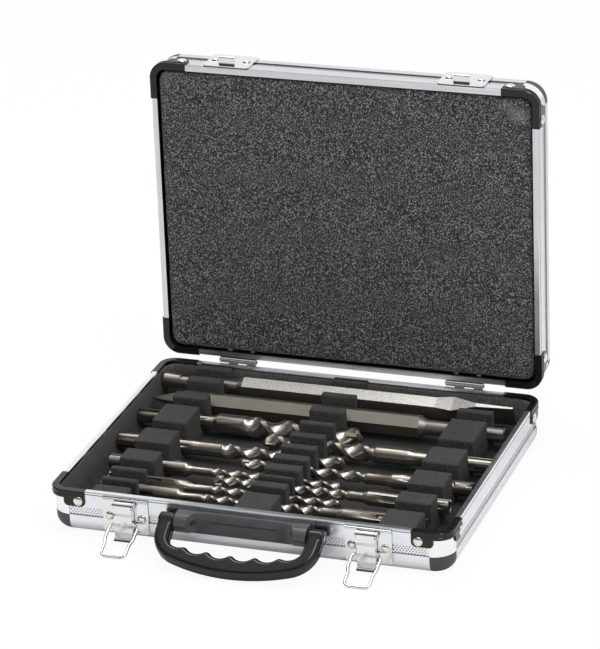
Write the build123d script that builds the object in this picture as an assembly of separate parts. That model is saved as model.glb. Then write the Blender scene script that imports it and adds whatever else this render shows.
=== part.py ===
from build123d import *
import os
from dataclasses import dataclass
from math import acos, asin, atan, cos, degrees, hypot, pi, radians, sin

# Drill bit case with a hinged lid, two draw latches and a folding handle.
# The origin is the centre of the underside, X runs along the front, the
# front faces -Y and Z is up. The lid stands open. All sizes are millimetres.

# --- Case -------------------------------------------------------------------
CHISEL_LENGTH = 250.0       # the longest tools, which set the width
CHISEL_ROOM = 19.0          # between the chisels and the outer faces, in all
WIDTH = CHISEL_LENGTH + CHISEL_ROOM
DEPTH = 209.2
HALF_HEIGHT = 30.3          # each half shell, from its outer face to its rim
RIM_GAP = 0.3               # between the two rims when the case is closed
OPEN_ANGLE = 91.4           # lid travel
FIT = 0.05                  # radial clearance of a pin or wire in its eye
SEAT = 0.3                  # clearance round a piece that is laid in

# --- Rails and panels -------------------------------------------------------
WALL = 2.0
RIM_DEPTH = 3.9             # rim flange, from the outer face inwards
RIM_THICKNESS = 1.4
RIM_CHAMFER = 0.6
GROOVE_DROP = 1.4           # top of the fine groove, below the rim
GROOVE_WIDTH = 0.6
GROOVE_DEPTH = 0.5
STRIP_LOW = 13.1            # recessed strip along the middle of each rail
STRIP_HIGH = 19.0
STRIP_DEPTH = 0.7
FOOT_RADIUS = 9.0
FOOT_LAND = 1.0             # flat that the case stands on, inside the radius
SHELF_DEPTH = 7.0           # overlap of the rail on the panel
SHELF_THICKNESS = 1.2
PANEL_THICKNESS = 1.6

# --- Corners ----------------------------------------------------------------
CORNER_RADIUS = 13.6        # ball corner and corner plate
RIM_CORNER_RADIUS = 10.6
RIM_CORNER_LEG = 25.0       # from the outer face of the next side
RIM_CORNER_HEIGHT = 5.0     # from the rim to its lower edge
RIM_CORNER_PROUD = 0.9
RIDGE_DEPTH = 0.4           # groove between the two ridges of the rim corner
RIDGE_MARGIN = 1.6
RIDGE_SLOPE = 0.3
FLAP_DROP = 5.6             # flap below the rim corner
FLAP_CORNER = 3.0

# --- Rivets -----------------------------------------------------------------
RIVET_HEAD = 6.5
RIVET_HEAD_HEIGHT = 1.4
RIVET_CROWN = 2.6           # flat on top of the head
RIVET_SHANK = 3.2
RIVET_HOLE_PLAY = 0.05
CORNER_RIVET_INSET = 20.5   # from the outer face of the next side
CORNER_RIVET_DROP = 6.8     # below the rim

# --- Tray, combs and lid pad ------------------------------------------------
TRAY_GAP = 0.15             # between the tray and the rail wall
TRAY_WALL = 1.8
TRAY_FLOOR_THICKNESS = 3.1
TRAY_BELOW_RIM = 1.5
TRAY_BOTTOM_RADIUS = 6.8
TRAY_INNER_RADIUS = 5.0
TRAY_CORNER_RADIUS = 11.4
COMB_WIDTH = 24.6
COMB_BELOW_RIM = 1.0
COMB_END_GAP = 0.25
COMB_END_RADIUS = 5.6
LEFT_COMB_INSET = 39.3      # from the outer face to the middle of the comb
RIGHT_COMB_INSET = 36.5
COMB_CENTRES = {
    "left_comb": LEFT_COMB_INSET - WIDTH / 2,
    "centre_comb": 1.6,
    "right_comb": WIDTH / 2 - RIGHT_COMB_INSET,
}
SLOT_PLAY = 0.35            # radial, round a tool
BLADE_BAY_INSET = 27.6      # wide bay for the chisel blade in the right comb, from the rear face
BLADE_BAY_FLOOR = 10.0
SPARE_SLOT_INSET = 19.6     # axis of the spare slot, from the front face
SPARE_SLOT_WIDTH = 7.8
SPARE_SLOT_AXIS = 17.5
PAD_INSET = 4.9
PAD_CORNER = 7.0
PAD_ABOVE_RIM = 0.7         # recess of the pad's face inside the closed lid
PAD_EDGE_RADIUS = 2.0

# --- Tools ------------------------------------------------------------------
SHANK = 10.0                # shank diameter, the same on every tool
SHANK_LENGTH = 54.0
OPEN_GROOVE_LENGTH = 38.0
CLOSED_GROOVE_START = 12.0
CLOSED_GROOVE_LENGTH = 20.0
GROOVE_BALL = 3.6
GROOVE_BITE = 1.3
NECK_LENGTH = 4.5
LAND_ANGLE = 48.0           # arc of each of the two lands
WEB = 0.62                  # round core, as a share of the drill radius
RIB_FOOT_ANGLE = 50.0       # where a rib's side meets the core, from the middle of its land
RIB_HOLLOW = 0.74           # middle of a rib's side, as a share of the drill radius
PLAIN_RELIEF = 0.1          # plain part below the lands
RUNOUT = 0.9                # run-out of the flutes, as a share of the diameter
RUNOUT_DIP = 0.3            # end of the run-out below the core
CARBIDE_PROUD = 0.4
CARBIDE_THICKNESS = 0.24    # share of the diameter
POINT_ANGLE = 120.0
HEX = 14.0                  # across flats of the chisel bodies
FLAT_CHISEL_Z = 21.0
FLAT_CHISEL_ROLL = 30.0
FLAT_CHISEL_INSET = 5.5     # shank end from the left face
BLADE_WIDTH = 19.0
BLADE_THICKNESS = 1.4       # at the edge
BLADE_LENGTH = 54.0         # forged part, from the hexagonal bar to the edge
BLADE_SWELL = 42.0          # where the bar starts to flatten, from the edge
BLADE_SWELL_WIDTH = 15.0
BLADE_SWELL_THICKNESS = 13.4
BLADE_NECK = 26.0           # where the blade is flat, from the edge
BLADE_NECK_WIDTH = 18.0
BLADE_NECK_THICKNESS = 3.4
POINT_CHISEL_Z = 17.5
POINT_CHISEL_ROLL = 17.0
POINT_CHISEL_INSET = 13.5   # shank end from the right face
POINT_LENGTH = 25.0
POINT_FLAT = 1.2


SHORT_LENGTH = 110.0        # the two short drills share one row, point to point
SHORT_TIP_GAP = 0.8
SHORT_OFFSET = 4.0          # how far the pair sits toward the left
SHORT_INSET = (WIDTH - SHORT_TIP_GAP - SHORT_OFFSET) / 2 - SHORT_LENGTH

FRONT_ROW_INSET = 33.6      # axis of the front row, from the front face
REAR_ROW_INSET = 16.4       # axis of the rear row, from the rear face
ROW_STEPS = (15.5, 10.5, 16.2, 15.8, 16.6, 18.7, 19.3, 23.8, 22.8)   # from row to row, front to rear
POINT_CHISEL_ROW = 8
FLAT_CHISEL_ROW = 9


def row_y(row):
    """Axis of a row; the steps spread over the room between the first and the last."""
    front, rear = FRONT_ROW_INSET - DEPTH / 2, DEPTH / 2 - REAR_ROW_INSET
    return front + (rear - front) * sum(ROW_STEPS[:row]) / sum(ROW_STEPS)


@dataclass
class Drill:
    """A drill along X; facing is +1 when it points to +X."""
    name: str
    diameter: float
    length: float
    inset: float            # shank end from the outer face behind it
    facing: int
    row: int
    z: float
    plain: float            # length from the shank end to where flutes start
    pitch: float
    roll: float

    @property
    def y(self):
        return row_y(self.row)

    @property
    def shank_end(self):
        return self.facing * (self.inset - WIDTH / 2)


DRILLS = [
    Drill("long_drill_14", 14.0, 160.0, 4.8, 1, 7, 15.3, 76.0, 45.0, 20.0),
    Drill("long_drill_10", 10.0, 160.0, 4.7, 1, 5, 15.0, 74.0, 36.0, 50.0),
    Drill("long_drill_6_rear", 6.0, 160.0, 11.5, 1, 3, 15.0, 72.0, 28.0, 0.0),
    Drill("long_drill_6_front", 6.0, 160.0, 21.5, 1, 1, 16.2, 72.0, 26.0, 35.0),
    Drill("short_drill_6", 6.0, SHORT_LENGTH, SHORT_INSET, 1, 0, 17.5, 70.0, 25.0, 75.0),
    Drill("long_drill_12", 12.0, 160.0, 8.0, -1, 6, 15.5, 80.0, 40.0, 10.0),
    Drill("long_drill_8", 8.0, 160.0, 11.5, -1, 4, 15.5, 72.0, 33.0, 60.0),
    Drill("long_drill_7", 7.0, 160.0, 18.0, -1, 2, 18.2, 67.0, 24.0, 30.0),
    Drill("short_drill_8", 8.0, SHORT_LENGTH, SHORT_INSET + SHORT_OFFSET, -1, 0, 17.5, 68.0, 26.0, 45.0),
]

# --- Hinges -----------------------------------------------------------------
HINGE_INSET = 53.5          # middle of a hinge, from the side of the case
HINGE_X = WIDTH / 2 - HINGE_INSET
HINGE_SETBACK = 2.2         # hinge axis behind the rear face
HINGE_RISE = 1.6            # hinge axis above the base rim
HINGE_PIN = 2.0
KNUCKLE = 4.2
KNUCKLE_LENGTH = 6.6
KNUCKLE_GAP = 0.2
KNUCKLES = 4
LEAF_THICKNESS = 1.0
LEAF_LENGTH = 19.0
HINGE_RIVET_DROP = 8.0      # below the rim
HINGE_RIVET_SPACING = 16.0
TAIL_LENGTH = 2.6
TAIL_DIAMETER = 4.0

# --- Latches ----------------------------------------------------------------
LATCH_INSET = 53.0          # middle of a latch, from the side of the case
LATCH_X = WIDTH / 2 - LATCH_INSET
LATCH_PLATE_WIDTH = 31.0
LATCH_PLATE_LOW = 5.0
LATCH_PLATE_DROP = 1.8      # top of the plate, below the rim
PLATE_THICKNESS = 1.0
PLATE_CORNER = 2.0
BEAD_RADIUS = 0.9
LATCH_RIVET_SPACING = 22.0
LATCH_RIVET_HEAD = 5.6
LEVER_PIVOT_OUT = 4.0       # in front of the face
LEVER_PIVOT_DROP = 4.8      # below the rim
LEVER_PIN = 2.2
LEVER_WIDTH = 12.0
LEVER_SHEET = 1.0
LEVER_KNUCKLE = 2.6
LEVER_TIP_Z = 2.0
LEVER_STEP = 0.8            # joggle below the knuckle
LEVER_BEND = 1.2
LEVER_STEP_START = 4.5      # below the pivot
LEVER_STEP_END = 6.5
LEVER_CURL = 5.5            # curled end, above the tip
LEVER_BACK_GAP = 0.4        # between the flanges and the plate
LEVER_FLANGE_RISE = 9.0     # where the flanges start, above the tip
EAR_GAP = 0.2
EAR_THICKNESS = 0.8
BAIL_WIRE = 2.0
BAIL_RIVET_GAP = 0.35       # between the fastened bail and the rivets
BAIL_PIVOT_OUT = PLATE_THICKNESS + RIVET_HEAD_HEIGHT + BAIL_RIVET_GAP + BAIL_WIRE / 2
BAIL_PIVOT_DROP = 18.3      # below the rim
BAIL_LENGTH = 26.0          # from the pivot to the cross bar
BAIL_SHOULDER = 9.5         # half widths of the wire's centre line
BAIL_END = 8.3
BAIL_BEND = 3.4
HOOK_WIDTH = 11.0
HOOK_REACH = 6.5
HOOK_LIP = 2.6
BAIL_FLOOR_GAP = 0.15

# --- Handle -----------------------------------------------------------------
HANDLE_PIVOT_OUT = 7.4
HANDLE_PIVOT_DROP = 9.3     # below the rim
HANDLE_PIN = 4.0
HANDLE_HALF_WIDTH = 55.0
HANDLE_ARM = 10.5           # width of each arm
HANDLE_REACH = 36.6         # pivot to the outer edge, on the centre line
HANDLE_SHOULDER = 40.0      # where the long outer curve ends
HANDLE_SHOULDER_REACH = 30.0
HANDLE_THICKNESS = 10.0
HANDLE_EDGE = 3.0
HANDLE_EYE = 5.6            # radius of the eye round the pin
HANDLE_FLOOR_GAP = 0.15
FINGER_PITCH = 15.5
FINGER_RADIUS = 8.5         # hollow for one finger
FINGER_REACH = (25.3, 24.0, 20.8)   # bottoms of the hollows, from the pivot
FINGER_RIDGE = 3.0          # rounding of the ridge between two hollows
HANDLE_STRAIGHT = 8.0       # straight start of each arm, from the pivot
BACKPLATE_HALF_WIDTH = 46.0
BACKPLATE_LOW = 11.0
BACKPLATE_DROP = 2.3        # top of the plate, below the rim
BACKPLATE_THICKNESS = 1.4
PANEL_RISE = 3.0            # scooped middle, in front of the plate
PANEL_SLOT_DROP = 9.0       # slot in the scoop, below the rim
PANEL_SLOT_HALF = 22.0
PANEL_SLOT_WIDTH = 1.2
PANEL_SLOT_DEPTH = 0.7
SCOOP_RADIUS = 9.0          # sweep from the scoop to a boss
BOSS_INNER = 35.5
BOSS_OUTER = 44.0
BOSS_RADIUS = 6.4

# --- Derived frame ----------------------------------------------------------
FACE_Y = -DEPTH / 2
HINGE_Y = DEPTH / 2 + HINGE_SETBACK
HINGE_Z = HALF_HEIGHT + HINGE_RISE
TRAY_FLOOR = PANEL_THICKNESS + SHELF_THICKNESS + 0.1 + TRAY_FLOOR_THICKNESS
COMB_TOP = HALF_HEIGHT - COMB_BELOW_RIM
PANEL_INSET = FOOT_RADIUS + FOOT_LAND
SIDES = {"front": 0, "right": 1, "back": 2, "left": 3}
RIM_CORNER_LOW = HALF_HEIGHT - RIM_CORNER_HEIGHT
CORNER_RIVET_HEIGHT = HALF_HEIGHT - CORNER_RIVET_DROP
LATCH_PLATE_HIGH = HALF_HEIGHT - LATCH_PLATE_DROP
LATCH_RIVET_HEIGHT = (STRIP_LOW + STRIP_HIGH) / 2
LEVER_PIVOT_Z = HALF_HEIGHT - LEVER_PIVOT_DROP
BAIL_PIVOT_Z = HALF_HEIGHT - BAIL_PIVOT_DROP
HANDLE_PIVOT_Z = HALF_HEIGHT - HANDLE_PIVOT_DROP
BACKPLATE_HIGH = HALF_HEIGHT - BACKPLATE_DROP
FLAT_CHISEL_END = FLAT_CHISEL_INSET - WIDTH / 2
POINT_CHISEL_END = WIDTH / 2 - POINT_CHISEL_INSET
CORNERS = {"front_right": 0, "back_right": 1, "back_left": 2, "front_left": 3}

os.makedirs("parts", exist_ok=True)


def export(name, *solids):
    """Write the solids of one node."""
    shape = solids[0] if len(solids) == 1 else Compound(children=list(solids))
    export_step(shape, f"parts/{name}.step")


def as_lid(shape):
    """Turn a piece of a base shell into its twin on the open lid."""
    closed = mirror(shape, Plane.XY.offset(HALF_HEIGHT + RIM_GAP / 2))
    hinge = Pos(0, HINGE_Y, HINGE_Z)
    return hinge * Rot(X=-OPEN_ANGLE) * hinge.inverse() * closed


def box(x, y, z):
    """A box between three pairs of limits."""
    centre = Pos(sum(x) / 2, sum(y) / 2, sum(z) / 2)
    return centre * Box(x[1] - x[0], y[1] - y[0], z[1] - z[0])


def rod_x(diameter, start, end, y=0.0, z=0.0):
    """A round rod along X."""
    return Pos((start + end) / 2, y, z) * Rot(Y=90) * Cylinder(diameter / 2, abs(end - start))


def side_frame(side):
    """Frame on the outer face of a side: -Y points outwards."""
    quarter = SIDES[side]
    reach = DEPTH / 2 if quarter % 2 == 0 else WIDTH / 2
    return Rot(Z=90 * quarter) * Pos(0, -reach)


def side_length(side):
    return WIDTH if SIDES[side] % 2 == 0 else DEPTH


def corner_frame(corner):
    """Frame at an outer corner: the case lies toward -X and +Y."""
    quarter = CORNERS[corner]
    sx = 1 if quarter < 2 else -1
    sy = 1 if quarter in (1, 2) else -1
    return Pos(sx * WIDTH / 2, sy * DEPTH / 2) * Rot(Z=90 * quarter)


def outward(x, out, z):
    """On a side frame, a point whose local +Z faces out of the side."""
    return Pos(x, -out, z) * Rot(X=90)


# --- Rivets -----------------------------------------------------------------
def rivet(grip, tail=0.0, width=RIVET_HEAD):
    """Rivet, its head seated at the origin and its shank toward -Z."""
    head = width / 2
    shank = RIVET_SHANK / 2
    crown = RIVET_CROWN / 2
    outline = Polyline(
        (head, 0), (crown, RIVET_HEAD_HEIGHT), (0, RIVET_HEAD_HEIGHT), (0, -grip), (shank, -grip),
        (shank, 0), close=True)
    body = revolve(Plane.XZ * make_face(outline.edges()), Axis.Z)
    if tail:
        body += Pos(0, 0, -grip - tail / 2) * Cylinder(TAIL_DIAMETER / 2, tail)
    return body


def rivet_hole(place):
    """Cutter for a rivet's shank, through whatever lies behind its head."""
    return place * Cylinder(RIVET_SHANK / 2 + RIVET_HOLE_PLAY, 4 * WALL + 4 * PLATE_THICKNESS)


def pierce(body, places):
    for place in places:
        body -= rivet_hole(place)
    return body


def corner_rivet_places(side):
    """The two corner rivets of a side, on its side frame."""
    reach = side_length(side) / 2 - CORNER_RIVET_INSET
    return [outward(s * reach, RIM_CORNER_PROUD, CORNER_RIVET_HEIGHT) for s in (-1, 1)]


def latch_rivet_places():
    """Rivets of both latch plates, or of both keepers, on the front frame."""
    offsets = [c + s for c in (-LATCH_X, LATCH_X)
               for s in (-LATCH_RIVET_SPACING / 2, LATCH_RIVET_SPACING / 2)]
    return [outward(x, PLATE_THICKNESS, LATCH_RIVET_HEIGHT) for x in offsets]


def hinge_rivet_places():
    """Rivets of both hinge leaves, on the back frame."""
    offsets = [c + s for c in (-HINGE_X, HINGE_X)
               for s in (-HINGE_RIVET_SPACING / 2, HINGE_RIVET_SPACING / 2)]
    return [outward(x, LEAF_THICKNESS, HALF_HEIGHT - HINGE_RIVET_DROP) for x in offsets]


def side_rivet_places(side):
    places = corner_rivet_places(side)
    if side == "front":
        places += latch_rivet_places()
    if side == "back":
        places += hinge_rivet_places()
    return places


def rivets(hinge_tail):
    """All rivets of one half shell."""
    found = []
    for side in SIDES:
        frame = side_frame(side)
        found += [frame * p * rivet(RIM_CORNER_PROUD + WALL) for p in corner_rivet_places(side)]
    front, back = side_frame("front"), side_frame("back")
    latch_rivet = rivet(PLATE_THICKNESS + WALL, width=LATCH_RIVET_HEAD)
    found += [front * p * latch_rivet for p in latch_rivet_places()]
    found += [back * p * rivet(LEAF_THICKNESS + WALL, hinge_tail) for p in hinge_rivet_places()]
    return found


# --- Rails and panels -------------------------------------------------------
def rail_outline():
    """Edges of the rail's section: x outwards from the face, y up."""
    hub = (-FOOT_RADIUS, FOOT_RADIUS)
    inner = FOOT_RADIUS - WALL
    shelf = PANEL_THICKNESS + SHELF_THICKNESS
    dip = asin((FOOT_RADIUS - shelf) / inner)
    shelf_end = hub[0] + inner * cos(dip)
    groove_high = HALF_HEIGHT - GROOVE_DROP
    groove_low = groove_high - GROOVE_WIDTH
    foot = CenterArc(hub, FOOT_RADIUS, -90, 90)
    hollow = CenterArc(hub, inner, -degrees(dip), degrees(dip))
    face = Polyline(
        (0, FOOT_RADIUS), (0, STRIP_LOW), (-STRIP_DEPTH, STRIP_LOW), (-STRIP_DEPTH, STRIP_HIGH),
        (0, STRIP_HIGH), (0, groove_low), (-GROOVE_DEPTH, groove_low),
        (-GROOVE_DEPTH, groove_high), (0, groove_high), (0, HALF_HEIGHT - RIM_CHAMFER),
        (-RIM_CHAMFER, HALF_HEIGHT), (-RIM_DEPTH, HALF_HEIGHT),
        (-RIM_DEPTH, HALF_HEIGHT - RIM_THICKNESS), (-WALL, HALF_HEIGHT - RIM_THICKNESS),
        (-WALL, FOOT_RADIUS))
    underside = Polyline(
        (shelf_end, shelf), (-shelf_reach(), shelf),
        (-shelf_reach(), PANEL_THICKNESS), (-PANEL_INSET, PANEL_THICKNESS),
        (-PANEL_INSET, 0), (-FOOT_RADIUS, 0))
    return foot.edges() + face.edges() + hollow.edges() + underside.edges()


def shelf_reach():
    """Inner edge of the shelf, from the outer face."""
    return PANEL_INSET + SHELF_DEPTH


def along_side(section, length):
    """Extrude a section along a side frame, centred."""
    plane = Plane(origin=(0, 0, 0), x_dir=(0, -1, 0), z_dir=(-1, 0, 0))
    return extrude(plane * section, length / 2, both=True)


def rail(side):
    """Side rail between two corners, notched for the rim corners."""
    length = side_length(side) - 2 * CORNER_RADIUS
    body = along_side(make_face(rail_outline()), length)
    notch = side_length(side) / 2 - RIM_CORNER_LEG
    for s in (-1, 1):
        ends = sorted((s * notch, s * (length / 2 + 1)))
        body -= box(ends, (-1, RIM_DEPTH + 1), (RIM_CORNER_LOW, HALF_HEIGHT + 1))
    if side in ("left", "right"):
        reach = side_length(side) / 2
        for s in (-1, 1):
            ends = sorted((s * (reach - shelf_reach()), s * reach))
            body -= box(ends, (CORNER_RADIUS, shelf_reach() + 1), (0, FOOT_RADIUS))
    return side_frame(side) * pierce(body, side_rivet_places(side))


def panel():
    """Flat panel under the rails' shelves."""
    size = (WIDTH - 2 * PANEL_INSET, DEPTH - 2 * PANEL_INSET)
    outline = RectangleRounded(*size, CORNER_RADIUS - PANEL_INSET)
    return extrude(outline, PANEL_THICKNESS)


# --- Corners ----------------------------------------------------------------
def turned_corner(section, radius):
    """Revolve a section, drawn from the corner's axis, round a corner frame."""
    return Pos(-radius, radius) * Rot(Z=-90) * revolve(Plane.XZ * section, Axis.Z, 90)


def ball_corner():
    """Moulded lower corner: the rail's section turned round the corner."""
    radius = CORNER_RADIUS
    hub = (radius - FOOT_RADIUS, FOOT_RADIUS)
    inner = FOOT_RADIUS - WALL
    shelf = PANEL_THICKNESS + SHELF_THICKNESS
    dip = asin((FOOT_RADIUS - shelf) / inner)
    outside = CenterArc(hub, FOOT_RADIUS, -90, 90)
    inside = CenterArc(hub, inner, -degrees(dip), degrees(dip))
    rim = Polyline((radius, FOOT_RADIUS), (radius, STRIP_LOW), (radius - WALL, STRIP_LOW),
                   (radius - WALL, FOOT_RADIUS))
    web = Polyline(
        (hub[0] + inner * cos(dip), shelf), (0, shelf), (0, PANEL_THICKNESS),
        (radius - PANEL_INSET, PANEL_THICKNESS), (radius - PANEL_INSET, 0), (hub[0], 0))
    section = make_face(outside.edges() + rim.edges() + inside.edges() + web.edges())
    return turned_corner(section, radius)


def corner_plate():
    """Bright corner plate between the ball corner and the rim corner."""
    height = RIM_CORNER_LOW - STRIP_LOW
    section = Pos(CORNER_RADIUS - WALL / 2, STRIP_LOW + height / 2) * Rectangle(WALL, height)
    return turned_corner(section, CORNER_RADIUS)


def rim_corner_section(radius):
    """Section of the rim corner, with its ridge; radius shifts it outwards."""
    out = radius + RIM_CORNER_PROUD
    ridge_low = RIM_CORNER_LOW + RIDGE_MARGIN
    ridge_high = HALF_HEIGHT - RIDGE_MARGIN
    points = [
        (out, RIM_CORNER_LOW), (out, ridge_low), (out - RIDGE_DEPTH, ridge_low + RIDGE_SLOPE),
        (out - RIDGE_DEPTH, ridge_high - RIDGE_SLOPE), (out, ridge_high),
        (out, HALF_HEIGHT - RIM_CHAMFER), (out - RIM_CHAMFER, HALF_HEIGHT),
        (radius - RIM_DEPTH, HALF_HEIGHT), (radius - RIM_DEPTH, HALF_HEIGHT - RIM_THICKNESS),
        (radius - WALL, HALF_HEIGHT - RIM_THICKNESS), (radius - WALL, RIM_CORNER_LOW)]
    return make_face(Polyline(*points, close=True).edges())


def flap():
    """Riveted flap below one leg of the rim corner, on a side frame."""
    low = RIM_CORNER_LOW - FLAP_DROP
    length = RIM_CORNER_LEG - RIM_CORNER_RADIUS
    centre = -(RIM_CORNER_LEG + RIM_CORNER_RADIUS) / 2
    outline = Rectangle(length, 2 * FLAP_DROP)
    outline = fillet(outline.vertices(), FLAP_CORNER)
    outline -= Pos(0, FLAP_DROP) * Rectangle(length, 2 * FLAP_DROP)
    sheet = extrude(Plane.XZ * outline, RIM_CORNER_PROUD)
    return Pos(centre, 0, low + FLAP_DROP) * sheet


def rim_corner():
    """Moulded rim corner with two riveted flaps, on a corner frame."""
    length = RIM_CORNER_LEG - RIM_CORNER_RADIUS
    middle = (RIM_CORNER_LEG + RIM_CORNER_RADIUS) / 2
    leg = along_side(rim_corner_section(0), length)
    body = turned_corner(rim_corner_section(RIM_CORNER_RADIUS), RIM_CORNER_RADIUS)
    body += Pos(-middle, 0) * leg
    body += Rot(Z=90) * Pos(middle, 0) * leg
    body += flap()
    body += Rot(Z=90) * Pos(2 * middle, 0) * flap()
    hole = outward(-CORNER_RIVET_INSET, RIM_CORNER_PROUD, CORNER_RIVET_HEIGHT)
    other = Rot(Z=90) * outward(CORNER_RIVET_INSET, RIM_CORNER_PROUD, CORNER_RIVET_HEIGHT)
    return pierce(body, [hole, other])


# --- Tray, combs and pad ----------------------------------------------------
def rounded_block(inset, low, high, corner, edge):
    """Block with rounded corners in plan and a rounded lower edge."""
    outline = RectangleRounded(WIDTH - 2 * inset, DEPTH - 2 * inset, corner)
    block = Pos(0, 0, low) * extrude(outline, high - low)
    return fillet(block.faces().sort_by(Axis.Z)[0].edges(), edge)


def foam_tray():
    """Lining that fills the base shell, open upwards."""
    inset = WALL + TRAY_GAP
    high = HALF_HEIGHT - TRAY_BELOW_RIM
    low = TRAY_FLOOR - TRAY_FLOOR_THICKNESS
    outside = rounded_block(inset, low, high, TRAY_CORNER_RADIUS, TRAY_BOTTOM_RADIUS)
    inside = rounded_block(inset + TRAY_WALL, TRAY_FLOOR, high + 1,
                           TRAY_CORNER_RADIUS - TRAY_WALL, TRAY_INNER_RADIUS)
    return outside - inside


def lid_foam():
    """Pad that fills the lid and holds the tools down, as a base twin."""
    low = PANEL_THICKNESS + SHELF_THICKNESS + 0.1
    pad = rounded_block(PAD_INSET, low, HALF_HEIGHT - PAD_ABOVE_RIM, PAD_CORNER, FOOT_RADIUS - WALL)
    return fillet(pad.faces().sort_by(Axis.Z)[-1].edges(), PAD_EDGE_RADIUS)


def hex_corner_radius():
    return HEX / 2 / cos(pi / 6)


def tool_spans():
    """For each tool: its y, z and a list of (x from, x to, radius)."""
    spans = []
    for d in DRILLS:
        neck = d.shank_end + d.facing * SHANK_LENGTH
        tip = d.shank_end + d.facing * d.length
        spans.append((d.y, d.z, [
            (*sorted((d.shank_end, neck)), SHANK / 2),
            (*sorted((neck, tip)), d.diameter / 2)]))
    end = FLAT_CHISEL_END
    neck = end + SHANK_LENGTH
    blade = end + CHISEL_LENGTH - BLADE_LENGTH
    spans.append((row_y(FLAT_CHISEL_ROW), FLAT_CHISEL_Z, [
        (end, neck, SHANK / 2), (neck, blade, hex_corner_radius())]))
    end = POINT_CHISEL_END
    neck = end - SHANK_LENGTH
    spans.append((row_y(POINT_CHISEL_ROW), POINT_CHISEL_Z, [
        (neck, end, SHANK / 2),
        (end - CHISEL_LENGTH, neck, hex_corner_radius())]))
    return spans


def slot(y, z, half_width, centre):
    """U-shaped cutter across a comb, open upwards."""
    start = centre - COMB_WIDTH
    end = centre + COMB_WIDTH
    opening = box((start, end), (y - half_width, y + half_width), (z, HALF_HEIGHT + 1))
    return opening + rod_x(2 * half_width, start, end, y, z)


def comb(name):
    """Cross bar with a slot for every tool that lies over it."""
    centre = COMB_CENTRES[name]
    low, high = centre - COMB_WIDTH / 2, centre + COMB_WIDTH / 2
    reach = DEPTH / 2 - WALL - TRAY_GAP - TRAY_WALL - COMB_END_GAP
    bar = box((low, high), (-reach, reach), (TRAY_FLOOR, COMB_TOP))
    lower_ends = bar.faces().sort_by(Axis.Z)[0].edges().filter_by(Axis.X)
    bar = fillet(lower_ends, COMB_END_RADIUS)
    for y, z, pieces in tool_spans():
        half = max([r for a, b, r in pieces if a < high and b > low], default=0)
        if half:
            bar -= slot(y, z, half + SLOT_PLAY, centre)
    if name == "left_comb":
        bar -= slot(FACE_Y + SPARE_SLOT_INSET, SPARE_SLOT_AXIS, SPARE_SLOT_WIDTH / 2, centre)
    if name == "right_comb":
        bay = DEPTH / 2 - BLADE_BAY_INSET
        bar -= box((low - 1, high + 1), (bay, reach + 1), (BLADE_BAY_FLOOR, COMB_TOP + 1))
    return bar


# --- Tools ------------------------------------------------------------------
def shank():
    """Grooved shank along +Z from its end: two open and two closed grooves."""
    body = Pos(0, 0, SHANK_LENGTH / 2) * Cylinder(SHANK / 2, SHANK_LENGTH)
    body = chamfer(body.edges().group_by(Axis.Z)[0], 0.8)
    ball = GROOVE_BALL / 2
    depth = SHANK / 2 - GROOVE_BITE + ball
    for s in (-1, 1):
        body -= Pos(s * depth, 0, OPEN_GROOVE_LENGTH / 2) * Box(
            2 * ball, GROOVE_BALL * 0.8, OPEN_GROOVE_LENGTH)
        middle = CLOSED_GROOVE_START + CLOSED_GROOVE_LENGTH / 2
        closed = extrude(SlotOverall(CLOSED_GROOVE_LENGTH, GROOVE_BALL), ball, both=True)
        body -= Pos(0, s * depth, middle) * Rot(X=90) * Rot(Z=90) * closed
    return body


def polar(radius, angle):
    return radius * cos(radians(angle)), radius * sin(radians(angle))


def flute_section(diameter):
    """Section with a round core and two ribs, hollowed where they meet."""
    r = diameter / 2
    edge = LAND_ANGLE / 2
    edges = []
    for middle in (0, 180):
        edges += CenterArc((0, 0), r, middle - edge, LAND_ANGLE).edges()
        edges += CenterArc((0, 0), WEB * r, middle + RIB_FOOT_ANGLE, 180 - 2 * RIB_FOOT_ANGLE).edges()
        for s in (-1, 1):
            top, foot = polar(r, middle + s * edge), polar(WEB * r, middle + s * RIB_FOOT_ANGLE)
            hollow = polar(RIB_HOLLOW * r, middle + s * (edge + RIB_FOOT_ANGLE) / 2)
            edges += ThreePointArc(top, hollow, foot).edges()
    return make_face(edges).face()


def carbide_tip(diameter):
    """Roof-shaped cutting plate on the end of the flutes, toward +Z."""
    half = diameter / 2 + CARBIDE_PROUD / 2
    rise = half / (sin(radians(POINT_ANGLE / 2)) / cos(radians(POINT_ANGLE / 2)))
    side = 0.12 * diameter
    roof = Polyline((-half, 0), (half, 0), (half, side), (0, side + rise), (-half, side), close=True)
    plate = extrude(Plane.XZ * make_face(roof.edges()), CARBIDE_THICKNESS * diameter / 2, both=True)
    nose = Pos(0, 0, rise / 2) * Cone(WEB * half, 0.1 * diameter, rise)
    return plate + nose, side + rise


def turned(points):
    """Solid turned about Z, from the radius and height of points on its outline."""
    outline = Polyline((0, points[0][1]), *points, (0, points[-1][1]), close=True)
    return revolve(Plane.XZ * make_face(outline.edges()))


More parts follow.
